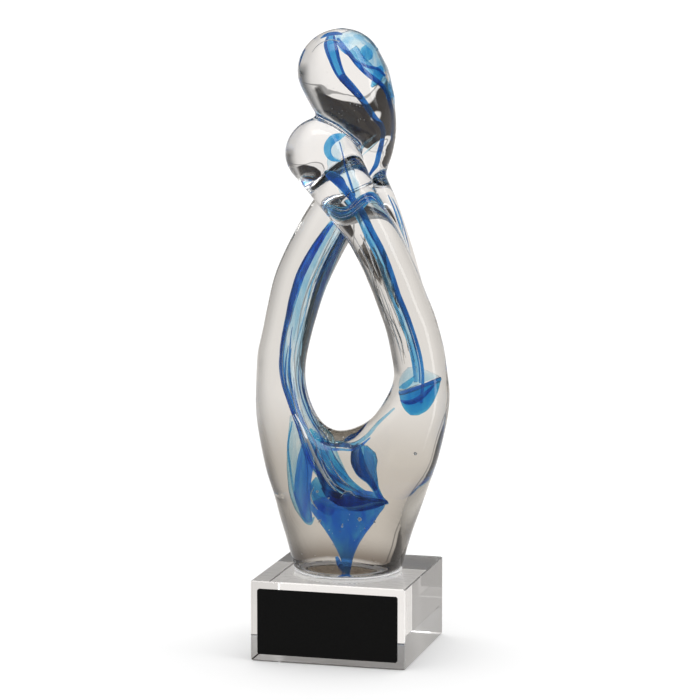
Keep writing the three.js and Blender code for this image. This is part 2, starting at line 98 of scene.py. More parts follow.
# Clear rods: rows are x, y, z above the foot, half-width and half-depth, in millimetres
FOOT = [
    (0, 0, 0, 25.8, 25.8), (0, 0, 0.7, 27, 27), (0, 0, 2, 27.9, 27.9), (0, 0, 8, 29.6, 28.2),
    (0, 0, 18, 32.6, 27.8), (0, 0, 28, 36.1, 26.8), (0.2, 0, 38, 39.8, 24.8),
    (0.6, 0, 48, 42, 22.3), (1, 0, 56, 41, 19.8), (1, 0, 62, 38.8, 15.3),
]
SADDLE = [
    (-35, 0, 95, 12.5, 13), (-34, 0, 87.5, 12.5, 13.5), (-30, 0, 75, 13.2, 15),
    (-22, 0, 63, 13.2, 17), (-9.5, 0, 57.5, 12.5, 19), (5, 0, 60, 12.5, 19),
    (19, 0, 68, 12.1, 18), (29, 0, 78.5, 13.5, 16), (35.5, 0, 92, 13, 14),
]
LEFT_STRAND = [
    (-17.5, 0, 29, 14, 20), (-25.5, 0, 49.5, 16.8, 20), (-30.5, 0, 64.5, 15.5, 18),
    (-34, 0, 80, 15, 15.5), (-35.5, 0, 93, 13.4, 13.5), (-35, 0, 105.5, 12.9, 13),
    (-33, 0, 116, 12.5, 12.5), (-30, 1.5, 130, 13, 12.5), (-26, 5, 146.5, 13.7, 12.5),
    (-17.5, 10.5, 166.5, 13.7, 12.2), (-11.5, 13, 177.5, 13.7, 11.7), (-4, 13, 189.5, 12.5, 11.2),
    (5, 11, 202.5, 11.5, 11), (12, 8, 215.5, 9.5, 10.5), (12.5, 4, 223, 11.5, 12),
    (9, -1.5, 232.5, 17, 16.5), (2.5, -5, 244.5, 21.5, 20), (-2.5, -6.5, 254.5, 21.5, 20.5),
]
UPPER_CROWN = 20
RIGHT_STRAND = [
    (24.5, 0, 36.5, 13.2, 20), (31.5, 0, 56, 14.1, 20), (35, 0, 70, 14.6, 18),
    (38, 0, 83, 14.6, 16), (39, 0, 93.5, 14.4, 15), (38, 0, 101, 13.8, 14),
    (36, 0, 113.5, 13.4, 13.5), (33, -1, 126.5, 13.1, 13), (29, -4, 139, 12.7, 13),
    (24, -7.5, 153.5, 12.5, 12.5), (15.5, -13.5, 174, 12.5, 12.3), (8.5, -15, 185, 13.5, 12.8),
    (2, -14.5, 194.5, 15, 14), (-5, -11.5, 204, 16.5, 16.2), (-12, -8, 213, 18.3, 18),
]
LOWER_CROWN = 17
FIN = [
    (39.5, 0, 124, 6, 9), (34, 1, 143, 5, 9), (29, 2, 160, 4.8, 9), (24, 3, 174.5, 4.8, 9),
    (18.5, 4.5, 189, 4.8, 7.5), (13.5, 6, 200.5, 4, 6),
]
FIN_CROWN = 4.8


# Surfaces

# Weights of a smooth line, waves of a sheet and a strand, thinning and domes
CENTRIPETAL = 0.5
SHORTEST_STEP = 1e-4
SHEET_WAVES = (17, 31)
STRAND_SWAY, SWAY_WAVES = 0.12, 9
THINNING = (0.08, 0.84)
BOWL_DOME = 0.35
ROW_MARK = 0.01
BALL_MIDDLE = 0.01


def smooth_line(points, per_span):
    """A centripetal Catmull-Rom curve through the rows of points, with its direction of travel.

    Each span is a cubic whose end slopes come from the neighbours, weighted by the square root
    of the distances between them. The ends go on straight."""
    points = np.asarray(points, float)
    padded = np.vstack([2 * points[0] - points[1], points, 2 * points[-1] - points[-2]])
    steps = np.linalg.norm(np.diff(padded, axis=0), axis=1) ** CENTRIPETAL
    weights = np.maximum(steps, SHORTEST_STEP)
    before, start, end, after = padded[:-3], padded[1:-2], padded[2:-1], padded[3:]
    d0, d1, d2 = (weights[i:len(weights) - 2 + i, None] for i in range(3))
    slope_in = (start - before) / d0 - (end - before) / (d0 + d1) + (end - start) / d1
    slope_out = (end - start) / d1 - (after - start) / (d1 + d2) + (after - end) / d2
    slope_in, slope_out = slope_in * d1, slope_out * d1
    t = np.linspace(0, 1, per_span, endpoint=False)[None, :, None]
    start, end, slope_in, slope_out = (a[:, None, :] for a in (start, end, slope_in, slope_out))
    place = (
        (2 * t**3 - 3 * t**2 + 1) * start + (t**3 - 2 * t**2 + t) * slope_in
        + (3 * t**2 - 2 * t**3) * end + (t**3 - t**2) * slope_out
    )
    travel = (
        (6 * t**2 - 6 * t) * (start - end) + (3 * t**2 - 4 * t + 1) * slope_in
        + (3 * t**2 - 2 * t) * slope_out
    )
    width = points.shape[1]
    place = np.vstack([place.reshape(-1, width), points[-1:]])
    travel = np.vstack([travel.reshape(-1, width), slope_out[-1]])
    return place, travel / np.linalg.norm(travel, axis=1, keepdims=True)


def frames(travel):
    """Two directions square to each direction of travel: across the front view, and away."""
    across = np.cross([0.0, 1.0, 0.0], travel)
    across /= np.linalg.norm(across, axis=1, keepdims=True)
    return across, np.cross(travel, across)


def skin(rings, start, end):
    """Vertices and faces of a closed skin over rings of equal counts, with a pole at each end."""
    count, sides = rings.shape[:2]
    vertices = np.vstack([rings.reshape(-1, 3), start, end])
    low = (np.arange(count - 1)[:, None] * sides + np.arange(sides)).ravel()
    turn = (np.arange(count - 1)[:, None] * sides + (np.arange(sides) + 1) % sides).ravel()
    quads = np.stack([low, turn, turn + sides, low + sides], axis=1)
    ring = np.arange(sides)
    following = (ring + 1) % sides
    last = (count - 1) * sides
    bottom = np.stack([np.full(sides, len(vertices) - 2), following, ring], axis=1)
    top = np.stack([np.full(sides, len(vertices) - 1), last + ring, last + following], axis=1)
    return vertices, [quads, bottom, top]


def circle_of(count):
    """Evenly spaced angles round a circle."""
    return np.linspace(0, 2 * np.pi, count, endpoint=False)


def rod(rows, start_dome=0.0, end_dome=0.0, sides=GLASS_SIDES, per_span=RINGS_PER_SPAN,
        upright=False):
    """An oval carried along a smooth line: centre + width cos(a) across + depth sin(a) away.

    A dome of a given height closes an end as a quarter ellipse; without one the end is flat.
    Upright keeps every oval level, however the line leans."""
    rows = np.asarray(rows, float)
    centre, travel = smooth_line(rows[:, :3], per_span)
    size, _ = smooth_line(rows[:, 3:5], per_span)
    if upright:
        travel = np.broadcast_to([0.0, 0.0, 1.0], travel.shape)
    across, away = frames(travel)
    angle = circle_of(sides)
    oval = (
        size[:, None, 0:1] * np.cos(angle)[None, :, None] * across[:, None, :]
        + size[:, None, 1:2] * np.sin(angle)[None, :, None] * away[:, None, :]
    )

    def dome(index, height, sign):
        lift = np.linspace(0, np.pi / 2, DOME_RINGS + 1)[1:-1]
        return (
            centre[index] + sign * height * np.sin(lift)[:, None, None] * travel[index]
            + np.cos(lift)[:, None, None] * oval[index][None]
        )

    parts = [centre[:, None, :] + oval]
    if start_dome > 0:
        parts.insert(0, dome(0, start_dome, -1)[::-1])
    if end_dome > 0:
        parts.append(dome(-1, end_dome, 1))
    start = centre[0] - start_dome * travel[0]
    end = centre[-1] + end_dome * travel[-1]
    return skin(np.concatenate(parts), start[None], end[None])


def wrapped_sheet(rows, wobble=0.0, seed=0):
    """A thin sheet wrapped round a smooth line and thinned to nothing at its two long edges.

    Rows are x, y, z, radius, half-arc in degrees, thickness and facing in degrees. A point of the
    section is at radius + half the thickness times sin(a), and turned to facing - half-arc times
    cos(a). wobble ripples the radius along the line as a sum of slow sines."""
    rows = np.asarray(rows, float)
    centre, travel = smooth_line(rows[:, :3], RINGS_PER_SPAN)
    shape, _ = smooth_line(rows[:, 3:7], RINGS_PER_SPAN)
    across, away = frames(travel)
    angle = circle_of(COLOUR_SIDES)[None, :]
    run = np.linspace(0, 1, len(centre))[:, None]
    slow, fast = SHEET_WAVES
    ripple = 1 + wobble * (np.sin(slow * run + seed + angle) + np.sin(fast * run + 2 * seed)) / 2
    radius = shape[:, 0:1] * ripple + 0.5 * shape[:, 2:3] * np.sin(angle)
    turned = np.radians(shape[:, 3:4] - shape[:, 1:2] * np.cos(angle))
    rings = (
        centre[:, None, :]
        + (radius * np.cos(turned))[..., None] * across[:, None, :]
        + (radius * np.sin(turned))[..., None] * away[:, None, :]
    )
    return skin(rings, rings[0].mean(axis=0)[None], rings[-1].mean(axis=0)[None])


def drop(rows, upright=False):
    """A colour rod with both ends domed by their own half-depth."""
    return rod(rows, rows[0][4], rows[-1][4], COLOUR_SIDES, upright=upright)


def thread(rows):
    """A round colour thread: rows of x, y, z and radius."""
    return drop([(x, y, z, r, r) for x, y, z, r in rows])


def ball(x, y, z, radius, sides):
    """A ball: a rod of hardly any length between two domes."""
    rows = [(x, y, z - BALL_MIDDLE, radius, radius), (x, y, z + BALL_MIDDLE, radius, radius)]
    return rod(rows, radius, radius, sides, 1)


def wound(rows, strands):
    """Fine threads that run along a line and turn slowly round it, all in one body.

    Rows are x, y, z and reach. A strand is its bearing and its turn in degrees, its share of the
    reach, its first and last place along the line from 0 to 1, and its radius in the middle, from
    which it thins as a sine towards both ends."""
    rows = np.asarray(rows, float)
    centre, travel = smooth_line(rows[:, :3], RINGS_PER_SPAN)
    across, away = frames(travel)
    along = np.linspace(0, 1, len(centre))
    reach = np.interp(along, np.linspace(0, 1, len(rows)), rows[:, 3])
    run = np.linspace(0, 1, STRAND_PLACES)
    thinning = np.sin(np.pi * (THINNING[0] + THINNING[1] * run))
    bodies = []
    for bearing, turn, share, first, last, radius in strands:
        t = np.linspace(first, last, STRAND_PLACES)
        sway = STRAND_SWAY * np.sin(SWAY_WAVES * run + bearing)
        angle = np.radians(bearing + turn * run) + sway

        def at(values):
            return np.stack([np.interp(t, along, values[:, k]) for k in range(3)], axis=1)

        out = share * np.interp(t, along, reach)[:, None]
        line = at(centre) + out * (
            np.cos(angle)[:, None] * at(across) + np.sin(angle)[:, None] * at(away)
        )
        size = radius * thinning
        bodies.append(rod(np.column_stack([line, size, size]), size[0], size[-1],
                          STRAND_SIDES, STRAND_RINGS_PER_SPAN))
    return joined(bodies)


def leaning_rings(rows, y):
    """Ovals from a left end to a right end that may lean, with an even dome below and above.

    Rows are the x and z of the left end, the x and z of the right end, and the half-depth. A ring
    is middle + half the span times cos(a) + half-depth times sin(a) away. Each row is marked
    with its place, so that two equal rows still lie apart on the smooth line."""
    marked = [(*row, ROW_MARK * place) for place, row in enumerate(rows)]
    rows, _ = smooth_line(marked, BOWL_RINGS_PER_SPAN)
    angle = circle_of(COLOUR_SIDES)
    x_left, z_left, x_right, z_right, depth = rows.T[:5]
    still = np.zeros(len(rows))
    middle = np.column_stack([x_left + x_right, still + 2 * y, z_left + z_right]) / 2
    span = np.column_stack([x_right - x_left, still, z_right - z_left]) / 2
    away = np.column_stack([still, depth, still])
    rings = (
        middle[:, None, :] + np.cos(angle)[None, :, None] * span[:, None, :]
        + np.sin(angle)[None, :, None] * away[:, None, :]
    )
    low = middle[0] - BOWL_DOME * (middle[1] - middle[0])
    high = middle[-1] + BOWL_DOME * (middle[-1] - middle[-2])
    return skin(rings, low[None], high[None])


def ring_faces(grid, inward=False):
    """Vertices and faces of a grid of points that closes on itself both ways."""
    places, sides = grid.shape[:2]
    ring = np.arange(places)[:, None] * sides
    after = np.roll(ring, -1, axis=0)
    step = np.arange(sides)
    turn = (step + 1) % sides
    quads = np.stack([ring + step, ring + turn, after + turn, after + step], axis=2).reshape(-1, 4)
    return grid.reshape(-1, 3), [quads[:, [0, 3, 2, 1]] if inward else quads]


def ring_round(x, y, z, radius, size):
    """A small ring that faces the front: a round section carried round a circle."""
    around, section = circle_of(RIM_PLACES)[:, None], circle_of(RIM_SIDES)[None, :]
    reach = radius + size * np.cos(section)
    return ring_faces(np.stack([
        x + reach * np.cos(around), y + size * np.sin(section) + 0 * around,
        z + reach * np.sin(around),
    ], axis=2))


def joined(bodies):
    """Several bodies' vertices and faces as one list of each."""
    vertices, faces, offset = [], [], 0
    for body_vertices, body_faces in bodies:
        vertices.append(body_vertices)
        faces.extend(block + offset for block in body_faces)
        offset += len(body_vertices)
    return np.vstack(vertices), faces


def mesh_object(name, body, raise_to_foot=True):
    """A mesh object at the origin, from millimetres above the foot to metres in the frame."""
    vertices, faces = body
    lift = [0, 0, FOOT_LEVEL] if raise_to_foot else [0, 0, 0]
    mesh = bpy.data.meshes.new(name)
    mesh.from_pydata((vertices * MM + lift).tolist(), [], [f for b in faces for f in b.tolist()])
    mesh.validate()
    mesh.shade_smooth()
    piece = bpy.data.objects.new(name, mesh)
    bpy.context.scene.collection.objects.link(piece)
    return piece


def finished(piece, material, slot, *nodes):
    """Give a piece its material and say what it rides on and stands for.

    Its glass lets the light through, so it throws no shadow."""
    piece.visible_shadow = False
    piece.data.materials.clear()
    piece.data.materials.append(material)
    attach(piece, "root")
    if nodes:
        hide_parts(*nodes)


# Shader helpers

STREAK_SIZE = 220.0
STREAK_STRETCH = (1.0, 1.0, 0.14)
STREAK_BAND = (0.40, 0.62)
COLOUR_ROUGHNESS = 0.08


def new_material(name):
    """A new material with its nodes, its links and its shader."""
    material = bpy.data.materials.new(name)
    material.use_nodes = True
    nodes = material.node_tree.nodes
    return material, nodes, material.node_tree.links, nodes["Principled BSDF"]


def node_group(name, inputs, output):
    """A node group with named inputs and one output, each given as its name and its kind."""
    group = bpy.data.node_groups.new(name, "ShaderNodeTree")
    for title, kind in inputs:
        group.interface.new_socket(title, in_out="INPUT", socket_type="NodeSocket" + kind)
    group.interface.new_socket(output[0], in_out="OUTPUT", socket_type="NodeSocket" + output[1])
    entry, leave = group.nodes.new("NodeGroupInput"), group.nodes.new("NodeGroupOutput")
    return group, group.nodes, group.links, entry.outputs, leave.inputs


def given(node, **values):
    """Put values on the inputs of a node by their names, with underscores for spaces."""
    for name, value in values.items():
        node.inputs[name.replace("_", " ")].default_value = value
    return node


def placed(nodes, kind, **values):
    """A new shader node of a kind, with values on its inputs."""
    return given(nodes.new("ShaderNode" + kind), **values)


def grouped(nodes, group, **values):
    """A new node of a node group, with values on its inputs."""
    node = nodes.new("ShaderNodeGroup")
    node.node_tree = group
    return given(node, **values)


def colour_mix(nodes):
    """A mix of two colours: its factor, its two colours and its result."""
    node = nodes.new("ShaderNodeMix")
    node.data_type = "RGBA"
    return node.inputs[0], node.inputs[6], node.inputs[7], node.outputs[2]


def smooth_range(nodes, low, high):
    """A smooth step from low to high: where its value goes in, and its result."""
    node = placed(nodes, "MapRange", From_Min=low, From_Max=high)
    node.interpolation_type = "SMOOTHSTEP"
    return node.inputs["Value"], node.outputs["Result"]


def hot_worked_group():
    """Slow waves that hand work leaves on hot glass, as a bumped normal from Object coordinates."""
    group, nodes, links, entry, leave = node_group(
        "Hot Worked Surface", [("Wave Size", "Float"), ("Wave Height", "Float")],
        ("Normal", "Vector"))
    place = placed(nodes, "TexCoord")
    noise = placed(nodes, "TexNoise", Detail=1.0)
    bump = placed(nodes, "Bump", Distance=1.0 * MM)
    links.new(place.outputs["Object"], noise.inputs["Vector"])
    links.new(entry["Wave Size"], noise.inputs["Scale"])
    links.new(entry["Wave Height"], bump.inputs["Strength"])
    links.new(noise.outputs["Fac"], bump.inputs["Height"])
    links.new(bump.outputs["Normal"], leave["Normal"])
    return group


def colour_streak_group():
    """Streaks drawn out along the height of a piece, between a deep and a pale colour."""
    group, nodes, links, entry, leave = node_group(
        "Drawn Colour Streaks", [("Deep", "Color"), ("Pale", "Color"), ("Streak Size", "Float")],
        ("Color", "Color"))
    place = placed(nodes, "TexCoord")
    stretch = placed(nodes, "Mapping", Scale=STREAK_STRETCH)
    noise = placed(nodes, "TexNoise", Detail=3.0, Distortion=0.6)
    spread = placed(nodes, "MapRange", From_Min=STREAK_BAND[0], From_Max=STREAK_BAND[1])
    factor, deep, pale, mixed = colour_mix(nodes)
    links.new(place.outputs["Object"], stretch.inputs["Vector"])
    links.new(stretch.outputs["Vector"], noise.inputs["Vector"])
    links.new(entry["Streak Size"], noise.inputs["Scale"])
    links.new(noise.outputs["Fac"], spread.inputs["Value"])
    links.new(spread.outputs["Result"], factor)
    links.new(entry["Deep"], deep)
    links.new(entry["Pale"], pale)
    links.new(mixed, leave["Color"])
    return group


# Painted shade on the clear glass by height, darkest over the resting face: the lowest tint, then
# each next one from a height to the height where it is reached, in millimetres above the foot
RIM_TINT = (0.95, 0.95, 0.93, 1)
PAINTED_SHADE_BANDS = (
    ("Resting Face", 1.6, 3.4, (0.15, 0.12, 0.095, 1)),
    ("Foot", 3.2, 17, (0.60, 0.565, 0.51, 1)),
    ("Arms", 48, 92, (0.84, 0.83, 0.81, 1)),
    ("Head", 150, 215, (1.0, 1.0, 1.0, 1)),
)


def painted_shade_group():
    """Painted shade: a tint by height, darker towards the foot and darkest over the resting face.
    """
    group, nodes, links, entry, leave = node_group(
        "Painted Shade By Height", [("Rim", "Color")] + [(band[0], "Color") for band in PAINTED_SHADE_BANDS],
        ("Color", "Color"))
    place = placed(nodes, "TexCoord")
    split = placed(nodes, "SeparateXYZ")
    links.new(place.outputs["Object"], split.inputs["Vector"])
    tint = entry["Rim"]
    for name, low, high, _ in PAINTED_SHADE_BANDS:
        level, risen = smooth_range(nodes, FOOT_LEVEL + low * MM, FOOT_LEVEL + high * MM)
        factor, under, over, mixed = colour_mix(nodes)
        links.new(split.outputs["Z"], level)
        links.new(risen, factor)
        links.new(tint, under)
        links.new(entry[name], over)
        tint = mixed
    links.new(tint, leave["Color"])
    return group


HOT_WORKED = hot_worked_group()
COLOUR_STREAKS = colour_streak_group()
PAINTED_SHADE = painted_shade_group()


def clear_glass(name, index, wave_size, wave_height, roughness=0.0, clearness=1.0,
                tint=(1.0, 1.0, 1.0)):
    """Clear glass with the slow waves of its making."""
    material, nodes, links, shader = new_material(name)
    given(shader, Base_Color=(*tint, 1), Roughness=roughness, IOR=index,
          Transmission_Weight=clearness)
    waves = grouped(nodes, HOT_WORKED, Wave_Size=wave_size, Wave_Height=wave_height)
    links.new(waves.outputs["Normal"], shader.inputs["Normal"])
    return material


def blue_glass(name, deep, pale, clearness, density, index=1.03, absorbed=(0.0, 0.66, 0.885)):
    """Blue glass cased in clear: a tinted body that takes up red light, with drawn streaks."""
    material, nodes, links, shader = new_material(name)
    given(shader, Roughness=COLOUR_ROUGHNESS, IOR=index, Transmission_Weight=clearness)
    streaks = grouped(nodes, COLOUR_STREAKS, Deep=(*deep, 1), Pale=(*pale, 1),
                      Streak_Size=STREAK_SIZE)
    links.new(streaks.outputs["Color"], shader.inputs["Base Color"])
    absorption = placed(nodes, "VolumeAbsorption", Color=(*absorbed, 1), Density=density)
    links.new(absorption.outputs["Volume"], nodes["Material Output"].inputs["Volume"])
    return material


GATHER_GLASS = clear_glass("Clear Gather Glass", 1.5, 24.0, 0.03)
CRYSTAL = clear_glass("Polished Crystal", 1.5, 12.0, 0.01)
COBALT = blue_glass("Cobalt Glass", (0.10, 0.34, 0.98), (0.26, 0.70, 1.0), 0.85, 150.0,
                    absorbed=(0.0, 0.56, 0.9))
COBALT_CLEAR = blue_glass("Clear Cobalt Glass", (0.14, 0.58, 0.94), (0.34, 0.84, 1.0), 0.88, 240.0)
THREAD_GLASS = blue_glass("Drawn Cobalt Thread", (0.05, 0.22, 0.62), (0.14, 0.48, 0.95), 0.78,
                          800.0)
COBALT_SHEET = blue_glass("Cobalt Sheet Glass", (0.60, 0.81, 0.93), (0.98, 0.99, 1.0), 0.98,
                          120.0, 1.06)
AZURE = blue_glass("Azure Glass", (0.22, 0.62, 0.93), (0.66, 0.88, 1.0), 0.9, 450.0, 1.05)
NAVY = blue_glass("Navy Glass", (0.03, 0.10, 0.28), (0.10, 0.38, 0.74), 0.88, 700.0)
SKY = blue_glass("Sky Glass", (0.72, 0.88, 0.97), (0.97, 0.99, 1.0), 0.98, 240.0, 1.05)
PALE_AZURE = blue_glass("Pale Azure Glass", (0.36, 0.68, 0.93), (0.84, 0.95, 1.0), 0.95,
                        360.0, 1.05)
MIST = blue_glass("Blue Mist", (0.74, 0.88, 0.97), (1.0, 1.0, 1.0), 0.98, 45.0)
# Grey to white streaks for the wavy grey-white reflections inside the right arm: painted reflection
PAINTED_REFLECTION = blue_glass("Painted Reflection Streaks", (0.24, 0.225, 0.21), (1.0, 0.99, 0.97), 0.96, 60.0, 1.08,
                 (0.8, 0.76, 0.7))
# Nearly white, half diffuse glass for thin lines and specks: painted highlights and reflections
PAINTED_HIGHLIGHT = blue_glass("Painted Highlight Glass", (0.85, 0.93, 0.98), (1.0, 1.0, 1.0), 0.35, 10.0,
                        absorbed=(0.9, 0.95, 1.0))
# The bonded face where the foot meets the block, tinted dark brown: painted shade
BONDED_SHADE = clear_glass("Bonded Face Painted Shade", 1.0, 12.0, 0.0, tint=(0.34, 0.31, 0.27))
GROUND = clear_glass("Ground Underside", 1.5, 300.0, 0.05, 0.35)
GROUND_RIM = clear_glass("Ground Rim", 1.5, 300.0, 0.2, 0.3, 0.45)
BOND = clear_glass("Set Bond", 1.46, 300.0, 0.3, 0.18, 0.5)
AIR = clear_glass("Trapped Air", 1 / 1.5, 400.0, 0.02)

# The record's slot of each glass, where a piece doesn't name another
USUAL_SLOTS = (
    ("cobalt_glass", (COBALT, COBALT_CLEAR, THREAD_GLASS, COBALT_SHEET, NAVY)),
    ("sky_glass", (AZURE, SKY, PALE_AZURE, MIST)),
    ("clear_glass", (PAINTED_REFLECTION, PAINTED_HIGHLIGHT, AIR)),
)


def shade_by_height(material):
    """Paint shade on a clear glass: a tint by height that darkens it towards the foot."""
    nodes, links = material.node_tree.nodes, material.node_tree.links
    tint = grouped(nodes, PAINTED_SHADE, Rim=RIM_TINT, **{band[0]: band[3] for band in PAINTED_SHADE_BANDS})
    links.new(tint.outputs["Color"], nodes["Principled BSDF"].inputs["Base Color"])


# The clear gather is darkened towards the foot: painted shade
shade_by_height(GATHER_GLASS)


# Clear glass

def read(items, field, width, kind=float):
    """A field of all of a mesh's vertices, edges or faces, as rows."""
    values = np.empty(width * len(items), kind)
    items.foreach_get(field, values)
    return values.reshape(-1, width)


def relaxed(places, pairs, share, rounds):
    """Each vertex moves a share of the way to the mean of its neighbours, over and over."""
    count = len(places)
    ends = np.concatenate([pairs[:, 0], pairs[:, 1]])
    others = np.concatenate([pairs[:, 1], pairs[:, 0]])
    valence = np.maximum(np.bincount(ends, minlength=count), 1)[:, None]
    share = np.reshape(share, (-1, 1))
    for _ in range(rounds):
        total = np.stack(
            [np.bincount(ends, places[others, k], minlength=count) for k in range(3)], axis=1
        )
        places = places + share * (total / valence - places)
    return places


def eased_step(value, low, high):
    """0 below low, 1 above high, and a smooth cubic between."""
    t = np.clip((value - low) / (high - low), 0, 1)
    return t * t * (3 - 2 * t)


def eased_band(value, low, full, ending, high):
    """1 from full to ending, and smooth steps from low and to high."""
    return eased_step(value, low, full) * (1 - eased_step(value, ending, high))


def gather_glass():
    """The clear sculpture as one skin: overlapping rods made one surface, then relaxed.

    The bulb's rounds pull each vertex to its neighbours and push it back a little further, which
    rounds small waves off and keeps the size."""
    body = joined([
        rod(FOOT), rod(SADDLE), rod(LEFT_STRAND, end_dome=UPPER_CROWN),
        rod(RIGHT_STRAND, end_dome=LOWER_CROWN), rod(FIN, end_dome=FIN_CROWN),
    ])
    piece = mesh_object("clear_gather", body)
    remesh = piece.modifiers.new("One Surface", "REMESH")
    remesh.mode = "VOXEL"
    remesh.voxel_size = GLASS_VOXEL
    depsgraph = bpy.context.evaluated_depsgraph_get()
    mesh = bpy.data.meshes.new_from_object(piece.evaluated_get(depsgraph))
    piece.modifiers.clear()
    piece.data = mesh
    places = read(mesh.vertices, "co", 3)
    pairs = read(mesh.edges, "vertices", 2, int)
    height = (places[:, 2] - FOOT_LEVEL) / MM
    skin_share = SKIN_SHARE * np.maximum(eased_step(height, SKIN_LOW, SKIN_HIGH), SKIN_LEAST)
    bulb = eased_step(height, BULB_LOW, BULB_HIGH)
    places = relaxed(places, pairs, JUNCTION_SHARE * eased_band(height, *JUNCTION), JUNCTION_ROUNDS)
    places = relaxed(places, pairs, FIN_SHARE * eased_band(height, *FIN_JOIN), FIN_ROUNDS)
    places = relaxed(places, pairs, skin_share, SKIN_ROUNDS)
    for _ in range(BULB_ROUNDS):
        places = relaxed(places, pairs, BULB_PULL * bulb, 1)
        places = relaxed(places, pairs, BULB_PUSH * bulb, 1)
    places[:, 2] -= CROWN_EASE * eased_step(height, CROWN_LOW, CROWN_HIGH)
    spread = np.hypot(places[:, 0], places[:, 1]) / MM
    resting = (places[:, 2] < FOOT_LEVEL + RESTING_REACH * MM) & (spread < CONTACT_RADIUS)
    places[resting, 2] = FOOT_LEVEL
    mesh.vertices.foreach_set("co", places.ravel())
    mesh.update()
    mesh.shade_smooth()
    finished(piece, GATHER_GLASS, "clear_glass", "foot_gather", "left_arm", "right_arm",
             "upper_bulb", "lower_bulb")
    # The resting face takes the painted shade of the bonded face, the low rim the ground finish
    mesh.materials.append(BONDED_SHADE)
    mesh.materials.append(GROUND_RIM)
    level = (read(mesh.polygons, "center", 3)[:, 2] - FOOT_LEVEL) / MM
    index = np.where(level < RESTING_FLATNESS, 1, np.where(level < RIM_HEIGHT, 2, 0))
    mesh.polygons.foreach_set("material_index", index)


# Blue colour

def colour(name, body, material, *nodes, slot=None):
    """A piece of colour, cased in the clear glass."""
    usual = next(usual for usual, glasses in USUAL_SLOTS if material in glasses)
    finished(mesh_object(name, body), material, slot or usual, *nodes)


